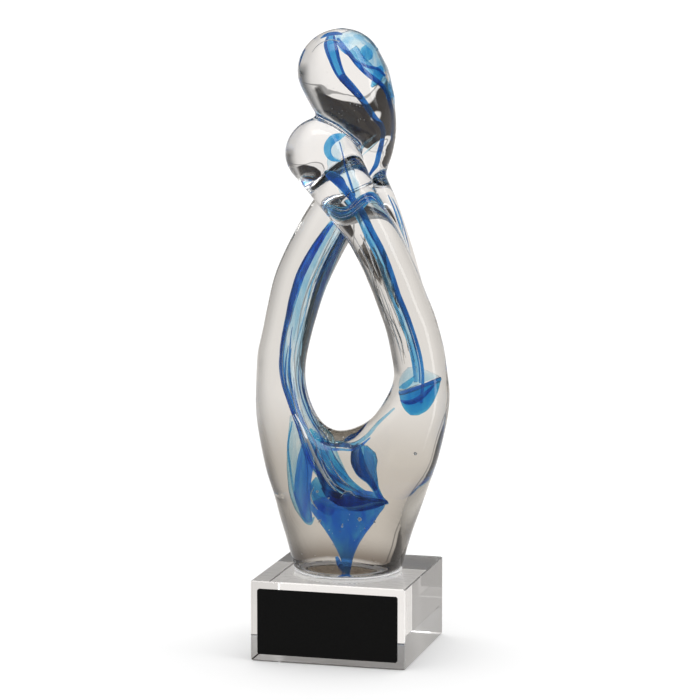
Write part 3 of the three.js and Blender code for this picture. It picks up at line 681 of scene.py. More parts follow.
def core():
    """The kite-shaped core that runs down to a point, with the dark fold over its top."""
    colour("blue_core_drop", drop([
        (0.6, -2.8, -1.2, 0.5, 0.6), (0.5, -2.8, 2, 1.3, 1.6), (0.5, -2.8, 6, 2.1, 2.6),
        (0.5, -2.8, 9.5, 3.1, 3.4), (0.5, -2.8, 15, 5.4, 4.6), (0.5, -2.8, 20, 8.4, 5.8),
        (0.5, -2.6, 25, 12.1, 6.8), (0.4, -2.6, 29.5, 15.2, 7.4), (1.8, -2.8, 33, 16.6, 7),
        (4.8, -3.2, 36, 15.6, 5.5), (10.5, -4, 38, 10, 3),
    ], upright=True), COBALT, "blue_core")
    fold = [
        (-9, -9.5, 42, 0.8, 0.8), (-6, -10, 39.6, 2, 1.8), (-2, -10.2, 37.6, 2.9, 2.3),
        (2.5, -10.4, 36.2, 3.4, 2.6), (7, -10.4, 35.6, 4, 2.8), (12, -10, 35.8, 3.4, 2.4),
        (17, -9.2, 36.6, 2.4, 1.8), (22, -8, 37.6, 0.8, 0.8),
    ]
    root = [
        (-14, -8.6, 62, 0.4, 0.4), (-13, -9.4, 55, 0.9, 0.9), (-10.6, -10, 48.6, 1.5, 1.4),
        (-7, -10.2, 43.4, 2, 1.8), (-3, -10.4, 40, 2, 1.8), (0.6, -10.4, 38, 1, 1),
    ]
    colour("core_fold", joined([drop(fold), drop(root)]), NAVY)
    colour("core_fold_lip", thread([
        (-15.4, -11, 44.5, 0.7), (-13.4, -12, 40.4, 1), (-8.6, -13, 36.2, 1.1),
        (-2.5, -13.6, 33.8, 1.1), (4, -13.6, 33.2, 1), (10.5, -12.6, 34.4, 0.9),
        (16.6, -11.4, 36.4, 0.7), (21.4, -9.5, 37.4, 0.4),
    ]), COBALT_CLEAR)
    colour("core_chip", drop([
        (-1, -2.6, 0.8, 0.5, 0.5), (-2, -2.8, 3.6, 1.1, 0.9), (-3.2, -3, 7.2, 0.6, 0.6),
    ]), COBALT)
    colour("core_lobe", drop([
        (-12.6, -9.5, 47, 0.8, 0.8), (-12.7, -9, 44, 2.8, 1.8), (-11.6, -8.4, 39.6, 4.2, 2.6),
        (-9, -7.6, 35, 4.4, 3), (-6, -6.8, 30.5, 2.8, 2.4),
    ]), AZURE, "blue_core", slot="cobalt_glass")
    knot = [
        (-20, -3.5, 69, 1.2, 1.2), (-15, -4.2, 62.5, 3.4, 3), (-10, -5, 57, 4.8, 4),
        (-5, -6, 51, 4.8, 4), (-0.5, -6.8, 46, 4.2, 3.6), (5.5, -7.4, 41.8, 3.2, 2.8),
        (12.5, -7.6, 39, 2, 1.8), (20, -7.2, 37.4, 0.7, 0.7),
    ]
    colour("core_knot", drop(knot), COBALT_CLEAR, "blue_core")
    turns = [(x, y, z, width) for x, y, z, width, _ in knot]
    colour("knot_dark_strands", wound(turns, [
        (20, 60, 1, 0.12, 0.8, 0.9), (340, 40, 0.9, 0.3, 0.9, 0.7), (300, 70, 1, 0.4, 0.95, 0.45),
        (250, 80, 0.95, 0.2, 0.72, 0.35),
    ]), NAVY)
    colour("knot_pale_strands", wound(turns, [
        (210, 60, 1.1, 0.05, 0.85, 0.45), (285, 50, 1.15, 0.15, 0.7, 0.35),
        (320, 60, 1.1, 0.4, 0.9, 0.3), (190, 30, 1.15, 0.3, 0.98, 0.3),
    ]), AZURE)
    # Pale blue curls in front of the fold for the knot's bright swirls: painted highlights
    curls = [
        [(0.6, -14.6, 38.4, 0.2), (2.8, -14.8, 41.6, 0.5), (5.9, -14.8, 42.3, 0.55),
         (8.4, -14.6, 39.8, 0.2)],
        [(-13.4, -12, 44.6, 0.2), (-15.6, -12, 40, 0.55), (-14.6, -12, 35.6, 0.6),
         (-11.4, -12, 31.4, 0.2)],
        [(-9, -12, 60, 0.2), (-6, -12, 55, 0.6), (-2.6, -12.4, 50.4, 0.7),
         (1.6, -12.6, 46.4, 0.3)],
    ]
    colour("knot_highlight_curls", joined([thread(rows) for rows in curls]), PALE_AZURE)
    # Thin white threads on the curls and strands of the knot: painted highlights
    glints = [
        [(1, -15, 39.6, 0.1), (3, -15.2, 42, 0.28), (5.6, -15.2, 42.4, 0.28),
         (7.4, -15, 40.6, 0.1)],
        [(-10, -13, 57, 0.1), (-7.6, -13.4, 52, 0.3), (-4.6, -13.6, 47.6, 0.3),
         (-1.6, -14, 44, 0.1)],
        [(-5.4, -13, 57, 0.1), (-2.6, -13.2, 52.4, 0.25), (0.6, -13.6, 48.4, 0.25),
         (4.6, -13.6, 45, 0.1)],
        [(-13, -13.2, 43.4, 0.1), (-14.4, -13.2, 39.4, 0.28), (-13.2, -13.2, 35.4, 0.28),
         (-10.6, -13, 32, 0.1)],
    ]
    colour("knot_painted_glints", joined([thread(rows) for rows in glints]), PAINTED_HIGHLIGHT)


def leaf():
    """A thin pocket folded down the left of the foot, with a deep patch inside it."""
    colour("leaf_pocket", wrapped_sheet([
        (-15.2, -12, 25.6, 0.6, 160, 0.4, -90), (-15.6, -12, 27.5, 2.2, 165, 0.8, -90),
        (-18.5, -11.5, 33.5, 3.8, 168, 0.9, -90), (-21, -11, 41, 4.8, 168, 0.8, -90),
        (-22.5, -9.8, 51, 5.3, 168, 0.7, -90), (-24.3, -8.8, 61, 4.4, 168, 0.6, -90),
        (-26, -8.2, 70, 2.8, 165, 0.5, -90), (-28, -7.5, 78.5, 0.6, 160, 0.4, -90),
    ]), SKY, "blue_leaf")
    colour("leaf_outline", thread([
        (-25.8, -13, 76.4, 0.3), (-27.4, -14, 64.6, 0.5), (-25.7, -14, 51.7, 0.55),
        (-23.4, -14, 41.5, 0.6), (-20.5, -14, 34.9, 0.75), (-16.7, -14, 26.9, 0.9),
        (-13.8, -14, 25.2, 0.8), (-12.2, -14, 28, 0.5),
    ]), AZURE, "blue_leaf")
    colour("leaf_patch", drop([
        (-14.5, -12, 26.5, 1.6, 1.3), (-17, -11.8, 32, 3.2, 2.2), (-19, -11.2, 39, 4.2, 2.6),
        (-19.4, -10.4, 46, 4.5, 2.7), (-19, -9.8, 53, 4.6, 2.5), (-19.2, -9.2, 59, 3.8, 2),
        (-20, -8.8, 63, 2, 1.3),
    ]), COBALT, "blue_leaf")


def petal():
    """A thin petal that hangs from the right tip of the core, with its dark left half."""
    colour("petal_shell", wrapped_sheet([
        (21.5, -5, 36.5, 0.8, 150, 0.6, 90), (18.5, -6, 39.5, 1.3, 165, 1, 90),
        (16.5, -7, 43.5, 1.7, 165, 1.1, 90), (15, -8, 47.5, 2.9, 165, 1.2, 90),
        (12.2, -7.7, 52.5, 5.4, 168, 1.2, 90), (11, -7.2, 57, 6.3, 168, 1.1, 90),
        (10.6, -6.6, 61.5, 5.6, 168, 1, 90), (10.4, -6.3, 64.4, 2.4, 160, 0.7, 90),
    ]), AZURE, "blue_petal")
    colour("petal_dark_half", drop([
        (17, -9.5, 43.5, 1.2, 1), (14.6, -10, 47.5, 2, 1.5), (10.6, -9.6, 52, 3.2, 2.1),
        (8.4, -9, 56.5, 3.6, 2.2), (8, -8.5, 60.5, 3, 1.8), (8.6, -8.2, 63.6, 1.4, 1),
    ]), NAVY, "blue_petal")
    colour("petal_bright_half", drop([
        (17.5, -8, 45, 0.9, 0.8), (15.4, -8.4, 50, 2.2, 1.4), (13.8, -8, 55, 2.9, 1.6),
        (13, -7.4, 60, 2.4, 1.3), (12.2, -7, 63, 1, 0.8),
    ]), AZURE, "blue_petal", slot="cobalt_glass")
    colour("petal_stem", thread([
        (21.6, -5.5, 36.8, 0.7), (18.5, -7, 39.5, 1.4), (16.8, -8.4, 43.5, 1.5),
        (15.6, -9.2, 47, 1.1),
    ]), COBALT)


def left_arm_colour():
    """The broad ribbon of the left arm, a sheet wrapped round and open on the right, and its veil.

    The ribbon swings over the core at its foot, and at its head it runs behind the right strand
    to the neck of the upper bulb. Drawn strands run along both; the white ones are painted
    highlights."""
    ribbon = [
        (19.5, -7, 37.4, 1.2, 90, 0.5, 190), (10, -7.2, 40, 3.6, 105, 1.2, 195),
        (-1, -5.6, 46.2, 5.6, 110, 1.4, 195), (-10, -4.2, 54.5, 6.4, 110, 1.3, 190),
        (-17, -2.8, 64.5, 5.8, 105, 1.1, 185), (-23.5, -1.4, 75, 4.4, 100, 1, 180),
        (-28, 0, 85.5, 4.1, 100, 1, 180), (-30, 0, 95.5, 4.6, 100, 1, 180),
        (-30.5, 0, 106, 4.7, 100, 1, 180), (-29, 0, 116, 4.7, 100, 1.1, 180),
        (-26.5, 1, 126.5, 5.1, 100, 1.2, 180), (-24.5, 3, 136.5, 5.5, 100, 1.3, 180),
        (-22, 5.5, 146.5, 5.4, 100, 1.4, 180), (-17, 9.5, 159, 4.8, 100, 1.4, 175),
        (-12, 12.5, 169, 4.1, 100, 1.4, 170), (-7.5, 14, 177, 3, 100, 1.2, 165),
        (-4, 14.6, 183, 0.9, 90, 0.5, 160),
    ]
    colour("arm_ribbon_sheet", wrapped_sheet(ribbon, wobble=0.05, seed=1), COBALT_SHEET,
           "arm_ribbon")
    line = [row[:4] for row in ribbon]
    colour("arm_dark_strands", wound(line, [
        (182, 6, 1.02, 0.22, 0.9, 0.5), (168, -8, 0.95, 0.6, 0.88, 0.7),
        (5, 0, 0.85, 0.29, 0.47, 0.7), (345, 20, 0.95, 0.12, 0.42, 0.4),
        (30, 15, 1, 0.55, 0.9, 0.45), (320, 30, 0.6, 0.74, 0.92, 0.4),
    ]), NAVY, "arm_ribbon")
    colour("arm_deep_strands", wound(line, [
        (190, 0, 0.82, 0.6, 0.92, 1.6), (212, 8, 0.85, 0.64, 0.92, 1.2),
        (178, 4, 0.9, 0.16, 0.62, 0.9), (200, 6, 0.86, 0.14, 0.5, 0.8),
    ]), COBALT, "arm_ribbon")
    colour("arm_blue_strands", wound(line, [
        (196, 4, 0.98, 0.12, 0.86, 0.42), (225, 25, 0.95, 0.08, 0.55, 0.45),
        (318, 14, 0.9, 0.1, 0.5, 0.4), (350, 14, 0.92, 0.64, 0.97, 0.4),
        (10, 10, 0.95, 0.66, 0.96, 0.35), (330, 20, 0.8, 0.7, 0.98, 0.45),
        (30, -8, 0.9, 0.6, 0.93, 0.35), (155, -20, 0.95, 0.2, 0.6, 0.35),
        (275, 10, 0.9, 0.12, 0.45, 0.4),
    ]), THREAD_GLASS, "arm_ribbon")
    colour("arm_veil_sheet", wrapped_sheet([
        (0, -0.5, 45, 2, 70, 0.3, 10), (-6, -1, 53, 4.4, 75, 0.5, 10),
        (-12.5, -1.5, 62, 4.6, 80, 0.5, 5), (-20, -1.8, 73, 3.6, 80, 0.5, 0),
        (-25.5, -1.2, 85, 2.9, 80, 0.5, 0), (-27.5, -0.8, 95, 2.9, 80, 0.5, 0),
        (-28, -0.8, 106, 3.1, 80, 0.5, 0), (-26.6, -0.5, 116, 3.2, 80, 0.5, 0),
        (-23.6, 0.6, 127, 3.6, 80, 0.5, 0), (-20.8, 2.8, 137, 4, 80, 0.6, 0),
        (-18, 5.5, 148.5, 4, 80, 0.6, 0), (-13, 9, 161, 3.4, 80, 0.6, 0),
        (-8, 12, 171, 2.6, 80, 0.6, 0), (-3.5, 13.6, 180.5, 0.8, 80, 0.3, 0),
    ], wobble=0.06, seed=4), SKY, "arm_veil")
    colour("arm_sky_strands", wound(line, [
        (358, 12, 0.8, 0.66, 0.96, 0.4), (18, 6, 0.85, 0.68, 0.97, 0.4),
        (340, 15, 0.95, 0.7, 0.95, 0.3), (300, 10, 0.6, 0.5, 0.9, 0.35),
        (255, 20, 0.95, 0.08, 0.5, 0.4), (205, 8, 0.86, 0.16, 0.75, 0.3),
        (335, 25, 0.8, 0.14, 0.5, 0.35), (40, 12, 0.8, 0.62, 0.9, 0.35),
    ]), AZURE, "arm_veil")
    # White hairs along the ribbon for its highlight lines: painted highlights
    colour("arm_painted_highlights", wound(line, [
        (292, -14, 0.72, 0.58, 0.95, 0.34), (300, 6, 0.9, 0.62, 0.94, 0.16),
        (240, 25, 1.05, 0.06, 0.5, 0.32), (285, 20, 0.95, 0.1, 0.62, 0.2),
        (225, 10, 0.95, 0.2, 0.7, 0.22), (330, 8, 0.85, 0.3, 0.62, 0.22),
        (310, 20, 0.7, 0.34, 0.66, 0.18),
    ]), PAINTED_HIGHLIGHT, "arm_veil")


def veil_edge():
    """A painted highlight: a white line along the edge of the veil, where it swings over the leaf
    to the core.
    """
    colour("veil_painted_highlight", thread([
        (-24, -13.5, 80.4, 0.2), (-21, -13.5, 75.4, 0.45), (-17.5, -13.5, 67.4, 0.7),
        (-13.7, -13.5, 59.4, 0.8), (-9.3, -13.5, 51.9, 0.8), (-5.5, -13.5, 45.9, 0.55),
        (-1.9, -13.5, 42, 0.2),
    ]), PAINTED_HIGHLIGHT)


def saddle_colour():
    """Dark bits under the teardrop hole and the fine line that climbs to the right arm."""
    colour("saddle_bits", drop([
        (-11, -11, 65.6, 0.6, 0.6), (-7, -11.5, 65, 1.1, 1), (-3, -11.5, 64.4, 0.9, 0.8),
        (1, -11.5, 64.8, 1.3, 1.1), (5.5, -11.5, 64.2, 0.9, 0.8), (9.5, -11.5, 65, 0.4, 0.4),
    ]), NAVY, "saddle_thread")
    colour("saddle_crumbs", thread([
        (-9, -12, 63.4, 0.4), (-5, -12.4, 62.6, 0.7), (0.5, -12.6, 62.8, 0.6),
        (6, -12.2, 63, 0.5), (10.5, -11.4, 65.4, 0.6), (15, -10, 69, 0.3),
    ]), COBALT, "saddle_thread")
    colour("saddle_fine_line", thread([
        (-4, -4, 62.5, 0.5), (5, -5, 63, 0.6), (13, -4, 67.5, 0.6), (20, -2.5, 75, 0.5),
        (27, -2, 83, 0.4),
    ]), AZURE, "saddle_thread")


def right_arm_colour():
    """The bowl at the elbow with its pale throat, and the thread that climbs to the crossing."""
    colour("elbow_cup", leaning_rings([
        (33.8, 80.9, 37.4, 81.2, 1.8), (31.9, 82.9, 40.2, 83.6, 4), (30.7, 85, 42.2, 87, 5.4),
        (30.1, 87, 43.7, 90.8, 6.2), (29.9, 88.8, 44.8, 94.6, 6.5), (29.8, 90.4, 45.6, 98.4, 6.4),
    ], -1.5), COBALT_CLEAR, "elbow_bowl")
    colour("elbow_brim", leaning_rings([
        (29.7, 90.3, 45.7, 98.3, 6.6), (29.6, 91.2, 45.9, 99.4, 6.7),
        (29.7, 92, 45.6, 100.4, 6.3),
    ], -1.5), AZURE, "elbow_bowl")
    throat = [
        (29.9, 92.6, 45, 100.8, 6), (30, 96, 43, 102, 5.6), (30.6, 99.6, 40.8, 103.4, 4.8),
        (31.8, 103, 38.4, 104.8, 3.2), (33.4, 105.6, 36.4, 106, 1.4),
    ]
    colour("elbow_band", thread([
        (30.6, -6, 88.4, 0.5), (33, -7.6, 88, 1), (36.5, -8, 88.8, 1.3), (40, -7.6, 91.2, 1.2),
        (43, -6, 94.6, 0.8), (45, -3.8, 97.6, 0.3),
    ]), THREAD_GLASS, "elbow_bowl")
    colour("elbow_throat", leaning_rings(throat, -1.5), MIST, "elbow_bowl")
    colour("elbow_crescent", drop([
        (30.4, -5.5, 95, 0.6, 0.6), (32.4, -6.6, 96.2, 1.5, 1), (34.8, -7, 98.6, 1.3, 0.9),
        (36.6, -6.6, 101.4, 0.4, 0.4),
    ]), COBALT_CLEAR)
    line = [
        (38.8, -3, 88, 0.6), (39.5, -3, 98, 0.6), (38.5, -2.6, 108, 0.6), (36, -3, 119, 0.6),
        (32.5, -4.5, 130.5, 0.65), (28.5, -7.5, 142, 0.75), (24.5, -10.5, 155, 0.9),
        (20.5, -13.5, 166, 1), (16, -16, 175.5, 1.1), (11.5, -17.5, 184.5, 1.2),
        (6.5, -17.5, 191, 1.3), (2.5, -17, 196, 1.5), (-1.5, -16, 200, 1.9),
        (-4.5, -15.5, 201.8, 1.4),
    ]
    colour("right_thread_line", thread(line), THREAD_GLASS, "right_arm_thread")
    dark = [(x - 0.9, y - 0.8, z, 0.35) for x, y, z, _ in line[1:-4]]
    colour("right_thread_dark", thread(dark), NAVY, "right_arm_thread")
    shade = [(x - 1.7, y + 1.2, z, 1.9, 75, 0.5, 180) for x, y, z, _ in line[1:-3]]
    colour("right_thread_shade", wrapped_sheet(shade, wobble=0.1, seed=2), AZURE,
           "right_arm_thread")
    coil = [
        (-4.4, -19, 188.4, 1.2), (-1.2, -20.4, 185.8, 2.8), (3, -20.6, 184.4, 3.2),
        (7.2, -20.6, 185.4, 3), (10.6, -20.6, 188.2, 2.7), (13.6, -20.2, 191, 2.4),
        (17, -18.4, 192.2, 2.1), (20, -16, 189.8, 1.5), (22, -13.5, 186, 0.6),
    ]
    colour("crossing_dark_strands", wound(coil, [
        (90, 30, 0.95, 0, 0.95, 0.4), (270, -30, 1, 0.02, 1, 0.42), (180, 60, 0.5, 0.1, 0.9, 0.4),
        (250, 60, 1.1, 0.4, 1, 0.45),
    ]), THREAD_GLASS, "right_arm_thread")
    colour("crossing_strands", wound(coil, [
        (20, 40, 0.8, 0, 1, 1.15), (110, 50, 0.75, 0.03, 0.97, 1.1), (200, 40, 0.85, 0, 0.9, 1.1),
        (290, 50, 0.8, 0.05, 1, 1.15), (340, -30, 0.3, 0, 1, 1.2), (160, -20, 0.45, 0, 0.95, 1.1),
    ]), AZURE, "right_arm_thread")
    # White hairs on the coil at the crossing: painted highlights
    colour("crossing_painted_highlights", wound(coil, [
        (230, 50, 1.25, 0, 0.9, 0.16), (290, 40, 1.2, 0.1, 1, 0.16),
        (260, -30, 1.15, 0, 0.6, 0.14),
    ]), PAINTED_HIGHLIGHT)
    inner = [
        (29.2, -6, 136.9, 1.2), (27.1, -6, 143.4, 2), (24.7, -6, 149.4, 2.4),
        (22, -6, 155.3, 2.4), (19.1, -6, 160.7, 2.2), (16.7, -6, 165.2, 2),
        (14.2, -6, 169.1, 1.6), (12.4, -6, 173.5, 1),
    ]
    side = [(x - 5.5, y, z, 2.8) for x, y, z, _ in line[2:8]]
    # Grey and white strands inside the right arm: painted reflection
    colour("arm_painted_reflection_strands", joined([wound(inner, [
        (180, 50, 1.2, 0.2, 1, 0.8), (230, -40, 1, 0.2, 0.95, 1), (200, 40, 0.7, 0.1, 0.8, 1.1),
        (190, -30, 1.6, 0.3, 0.9, 0.7), (200, 140, 0.9, 0, 0.7, 0.5),
        (210, -60, 1.3, 0.1, 0.75, 0.6), (250, 60, 1.3, 0.05, 0.6, 0.35),
        (160, 50, 0.8, 0, 0.6, 0.8),
    ]), wound(side, [
        (60, -30, 0.8, 0.1, 0.8, 0.4), (170, 40, 0.8, 0.25, 1, 0.5),
        (250, 30, 0.7, 0, 0.55, 0.35), (200, 60, 1.3, 0.2, 0.9, 0.35),
    ])]), PAINTED_REFLECTION)
    # White hairs beside the thread in the right arm: painted highlights and reflections
    colour("arm_side_painted_highlights", wound(side, [
        (0, 60, 0.9, 0, 0.7, 0.22), (120, 50, 0.8, 0.1, 0.85, 0.3),
        (200, 40, 1.1, 0.15, 0.95, 0.22), (280, -40, 0.9, 0.05, 0.6, 0.28),
        (320, 50, 0.5, 0.3, 1, 0.22), (240, 30, 1.5, 0, 0.75, 0.2),
    ]), PAINTED_HIGHLIGHT)
    outer = [
        (29, 1, 161, 0.5), (28, 1, 167.2, 1.4), (26.6, 1.5, 173.7, 1.9), (25, 2, 179.7, 1.8),
        (22.6, 2.5, 185.6, 1.2), (19.6, 3, 190.6, 0.5),
    ]
    colour("fin_blue_strands", wound(outer, [
        (0, 40, 0.9, 0, 0.8, 0.45), (200, 40, 0.9, 0.2, 1, 0.35), (300, 60, 0.9, 0.3, 0.9, 0.4),
    ]), THREAD_GLASS, "right_arm_thread")
    colour("fin_pale_strands", wound(outer, [
        (40, 60, 0.7, 0.1, 0.95, 0.5), (240, 40, 0.8, 0, 0.7, 0.5), (150, 60, 1, 0.4, 1, 0.4),
    ]), AZURE, "right_arm_thread")


def lower_bulb_colour():
    """A hook of colour in the lower bulb, and the cloud where it leaves the thread."""
    colour("lower_bulb_hook", thread([
        (0.5, -18.5, 208.8, 0.3), (-3.1, -18.6, 209.8, 1), (-5.3, -18.6, 212.6, 1.5),
        (-5.5, -18.4, 216.2, 1.9), (-3.3, -18, 219.6, 2.2), (-0.2, -17.6, 221.4, 1.9),
        (2.8, -17, 222.4, 0.6),
    ]), AZURE, "lower_bulb_swirl", slot="cobalt_glass")
    colour("lower_bulb_slip", thread([
        (8.2, -19.5, 192.5, 0.5), (5.7, -20, 199.9, 0.5), (3.6, -20, 206.3, 0.4),
        (2.1, -19.5, 212.7, 0.35), (0.4, -18.5, 218.6, 0.3),
    ]), THREAD_GLASS, "lower_bulb_swirl")
    colour("lower_bulb_patch", drop([
        (4.1, -19.5, 195.4, 0.9, 0.8), (1.2, -19.5, 199.3, 2, 1.4), (-2.5, -19, 201.8, 2.2, 1.4),
        (-5.6, -18.4, 203.8, 0.9, 0.8),
    ]), AZURE, "lower_bulb_swirl", slot="cobalt_glass")
    colour("lower_bulb_mist", drop([
        (-0.5, -17.5, 209.5, 0.8, 0.6), (-1.5, -17.5, 213, 3.4, 1.4), (-1, -17, 216.6, 3.6, 1.4),
        (0.5, -16.6, 219.6, 1, 0.7),
    ]), MIST, "lower_bulb_swirl")
    colour("lower_bulb_cloud", wrapped_sheet([
        (9, -15, 188, 1, 80, 0.3, -80), (4.5, -14, 195, 3.4, 90, 0.5, -80),
        (0, -12.5, 201, 4.2, 90, 0.5, -80), (-4, -11.5, 206, 3, 90, 0.4, -80),
        (-6.5, -11, 210, 1, 80, 0.2, -80),
    ], wobble=0.12, seed=3), SKY, "lower_bulb_swirl")


def upper_bulb_colour():
    """Two threads from the neck to the crown of the upper bulb, and a thin cloud on its right."""
    main = [
        (9.5, 9, 201, 1), (12.5, 7.5, 209, 0.95), (15, 3.5, 219.5, 0.9), (15.5, -1, 227, 0.95),
        (13.3, -5.5, 232, 1.1), (7.4, -9, 242, 1.3), (0.2, -11, 251, 1.6),
        (-2.9, -11.5, 258, 2.1), (-4.6, -11.3, 264, 2.5), (-4.9, -10.6, 267.6, 1.6),
    ]
    colour("bulb_main_line", thread(main[:7]), THREAD_GLASS, "bulb_thread")
    colour("bulb_main_head", thread(main[5:]), AZURE, "bulb_thread", slot="cobalt_glass")
    edges = [thread([(x + side * r, y - 0.6, z, 0.3 * r) for x, y, z, r in main[5:]])
             for side in (-0.85, 0.85)]
    colour("bulb_main_edges", joined(edges), THREAD_GLASS, "bulb_thread")
    second = [
        (-1.4, -12.5, 267, 0.6), (3, -13, 261.5, 0.9), (7.6, -13, 256, 1),
        (12.4, -12.5, 251.6, 1.1), (17, -11.5, 248.4, 1.2), (20.6, -9.5, 244.6, 1.2),
        (22, -6, 238, 1.3), (21.4, -0.5, 229, 1.1), (18.6, 5.5, 219.5, 0.6),
    ]
    colour("bulb_second_line", thread(second), THREAD_GLASS, "bulb_fine_thread")
    shade = [(x + 1.2, y + 0.6, z + 1.4, 2.6, 80, 0.7, 60) for x, y, z, _ in second[1:7]]
    colour("bulb_second_shade", wrapped_sheet(shade, wobble=0.08, seed=6), AZURE,
           "bulb_fine_thread")
    colour("bulb_arc_line", thread([
        (-2.5, -13.5, 266.5, 0.5), (2.5, -14, 261.5, 0.6), (8, -14, 257.6, 0.65),
        (12.5, -13.5, 255.6, 0.7), (17.5, -11.5, 254.4, 0.8), (20.5, -9, 251.5, 0.8),
    ]), THREAD_GLASS, "bulb_fine_thread")
    colour("bulb_cloud_sheet", wrapped_sheet([
        (10, -4, 247, 9, 30, 0.4, -10), (6.5, -5, 252, 13, 38, 0.9, -16),
        (3, -6, 257.5, 14.5, 44, 1, -22), (0.5, -6.5, 262.5, 13, 50, 0.9, -30),
        (-1, -7, 267, 9.5, 56, 0.8, -38), (-2, -7.2, 270, 5, 56, 0.5, -42),
    ], wobble=0.04, seed=5), PALE_AZURE, "bulb_veil")
    streaks = []
    for start, middle, end in (((7.3, -7, 213.2), (10.3, -7.5, 216.3), (14.6, -8, 220.1)),
                               ((9.3, -7, 211.6), (13.4, -7.5, 215.2), (17.4, -8, 218.6)),
                               ((8.6, -7.5, 215.6), (12, -8, 218.8), (16.4, -8.4, 222.6))):
        streaks.append(thread([(*start, 0.2), (*middle, 0.5), (*end, 0.2)]))
    colour("neck_pale_streaks", joined(streaks), PALE_AZURE, "bulb_fine_thread")
    colour("bulb_lens", drop([
        (12.2, -13.5, 258.5, 0.8, 0.5), (12.6, -13.8, 260.2, 3.2, 1),
        (12.8, -13.8, 262.2, 3.6, 1.1), (12.6, -13.6, 264.2, 3, 1),
        (12.2, -13.2, 265.8, 0.8, 0.5),
    ], upright=True), COBALT_CLEAR, "bulb_veil")
    colour("bulb_deep_patch", drop([
        (13.5, -10.5, 246.5, 0.8, 0.7), (16, -11, 249.5, 2.6, 1.4), (17.6, -10.6, 252.5, 3, 1.5),
        (19, -9.5, 255, 1.6, 1),
    ]), COBALT_CLEAR, "bulb_veil")
    colour("bulb_crown_bit", drop([
        (-9.2, -13, 268.2, 0.5, 0.5), (-6.6, -12.5, 270, 1.5, 1), (-3.2, -12, 270.4, 1.5, 1),
        (-0.2, -11.5, 269.8, 0.6, 0.5),
    ]), THREAD_GLASS, "bulb_thread")
    # A thin white arc near the crown: painted highlight
    colour("bulb_painted_highlight_arc", thread([
        (-12.4, -16.5, 262, 0.12), (-9.4, -17.4, 266, 0.25), (-4.6, -17.6, 268.4, 0.3),
        (0.6, -17.4, 267.6, 0.2),
    ]), PAINTED_HIGHLIGHT)
    colour("bulb_rim_bit", drop([
        (-19, -12, 255.5, 0.4, 0.4), (-18.4, -12.5, 259, 0.8, 0.5), (-17, -12.5, 262.5, 0.4, 0.4),
    ]), THREAD_GLASS, "bulb_thread")


# Air trapped in the glass

# Radii of the hairs, and of the fine seeds with their spread about a cluster's middle
HAIR_END, HAIR_SWELL = 0.14, 0.26
# Smallest bubble that gets a painted highlight rim, and the rim's thickness as a share of its
# radius
RIM_LEAST, RIM_SHARE = 0.35, 0.3
SEED_WIDE, SEED_DEEP = 0.4, 0.15
SEED_LEAST, SEED_GROWTH = 0.13, 0.05

# Fine seeds of air: x, y, z, reach and count of each cluster
SEEDED = np.random.default_rng(11)
SEED_CLUSTERS = [
    (5, -12, 232, 14, 26), (-4, -14, 246, 14, 8), (4, -20, 190, 10, 22), (0, -16, 62, 14, 18),
    (2, -18, 24, 18, 14), (-16, -18, 5, 8, 14), (18, -18, 5, 8, 10), (30, -8, 120, 12, 8),
]


def air_lines():
    """Fine drawn-out air lines, which show as bright and dark hairs."""
    lines = {
        "rod_hair_1": [(9, -17, 174), (12.5, -15, 167), (16, -13, 159), (20, -10, 147.5),
                       (23, -7.5, 137)],
        "rod_hair_2": [(11.5, -14.5, 174), (15, -12.5, 167), (17.5, -10.5, 159.5),
                       (20, -8.5, 152.5)],
        "rod_hair_3": [(17, -9, 158.5), (19.5, -6, 148), (22.5, -4, 139), (24, -2, 130.5)],
        "rod_hair_4": [(31.5, -3.5, 125), (33.5, -3, 116.5), (35.5, -2.5, 109), (37, -3, 103)],
    }
    for name, places in lines.items():
        middle = (len(places) - 1) / 2
        rows = [(*place, HAIR_END + HAIR_SWELL * (1 - abs(i - middle) / middle))
                for i, place in enumerate(places)]
        colour(f"air_{name}", thread(rows), AIR)


def air_bubbles():
    """Small round bubbles: each a ball of rings of latitude, the larger ones with a painted
    highlight rim.
    """
    bubbles = [
        (-9, -16, 27, 0.6), (10.5, -16, 29, 0.75), (2, -16.5, 25, 0.4), (17.5, -15, 28, 0.4),
        (-2.5, -15.5, 15.5, 0.3), (37, -9.5, 63, 0.6), (1, -16.5, 22.5, 0.25),
        (-11, -14.5, 41.5, 0.5), (-5, -15, 38.5, 0.4),
    ]
    rims = [ring_round(x, y - r, z, r, RIM_SHARE * r)
            for x, y, z, r in bubbles if r > RIM_LEAST]
    seeds = []
    for x, y, z, reach, count in SEED_CLUSTERS:
        for dx, dy, dz, size in SEEDED.normal(size=(count, 4)):
            seeds.append(ball(
                x + SEED_WIDE * reach * dx, y + SEED_DEEP * reach * dy, z + SEED_WIDE * reach * dz,
                SEED_LEAST + SEED_GROWTH * abs(size), SEED_SIDES))
    colour("air_bubbles", joined([ball(*bubble, BUBBLE_SIDES) for bubble in bubbles]), AIR)
    # The seeds are real air, shown as white specks whose brightness is a painted highlight
    colour("fine_seeds", joined(seeds), PAINTED_HIGHLIGHT)
    colour("bubble_painted_rims", joined(rims), PAINTED_HIGHLIGHT)


gather_glass()
core()
leaf()
petal()
left_arm_colour()
veil_edge()
saddle_colour()
right_arm_colour()
lower_bulb_colour()
upper_bulb_colour()
air_lines()
air_bubbles()


# Base

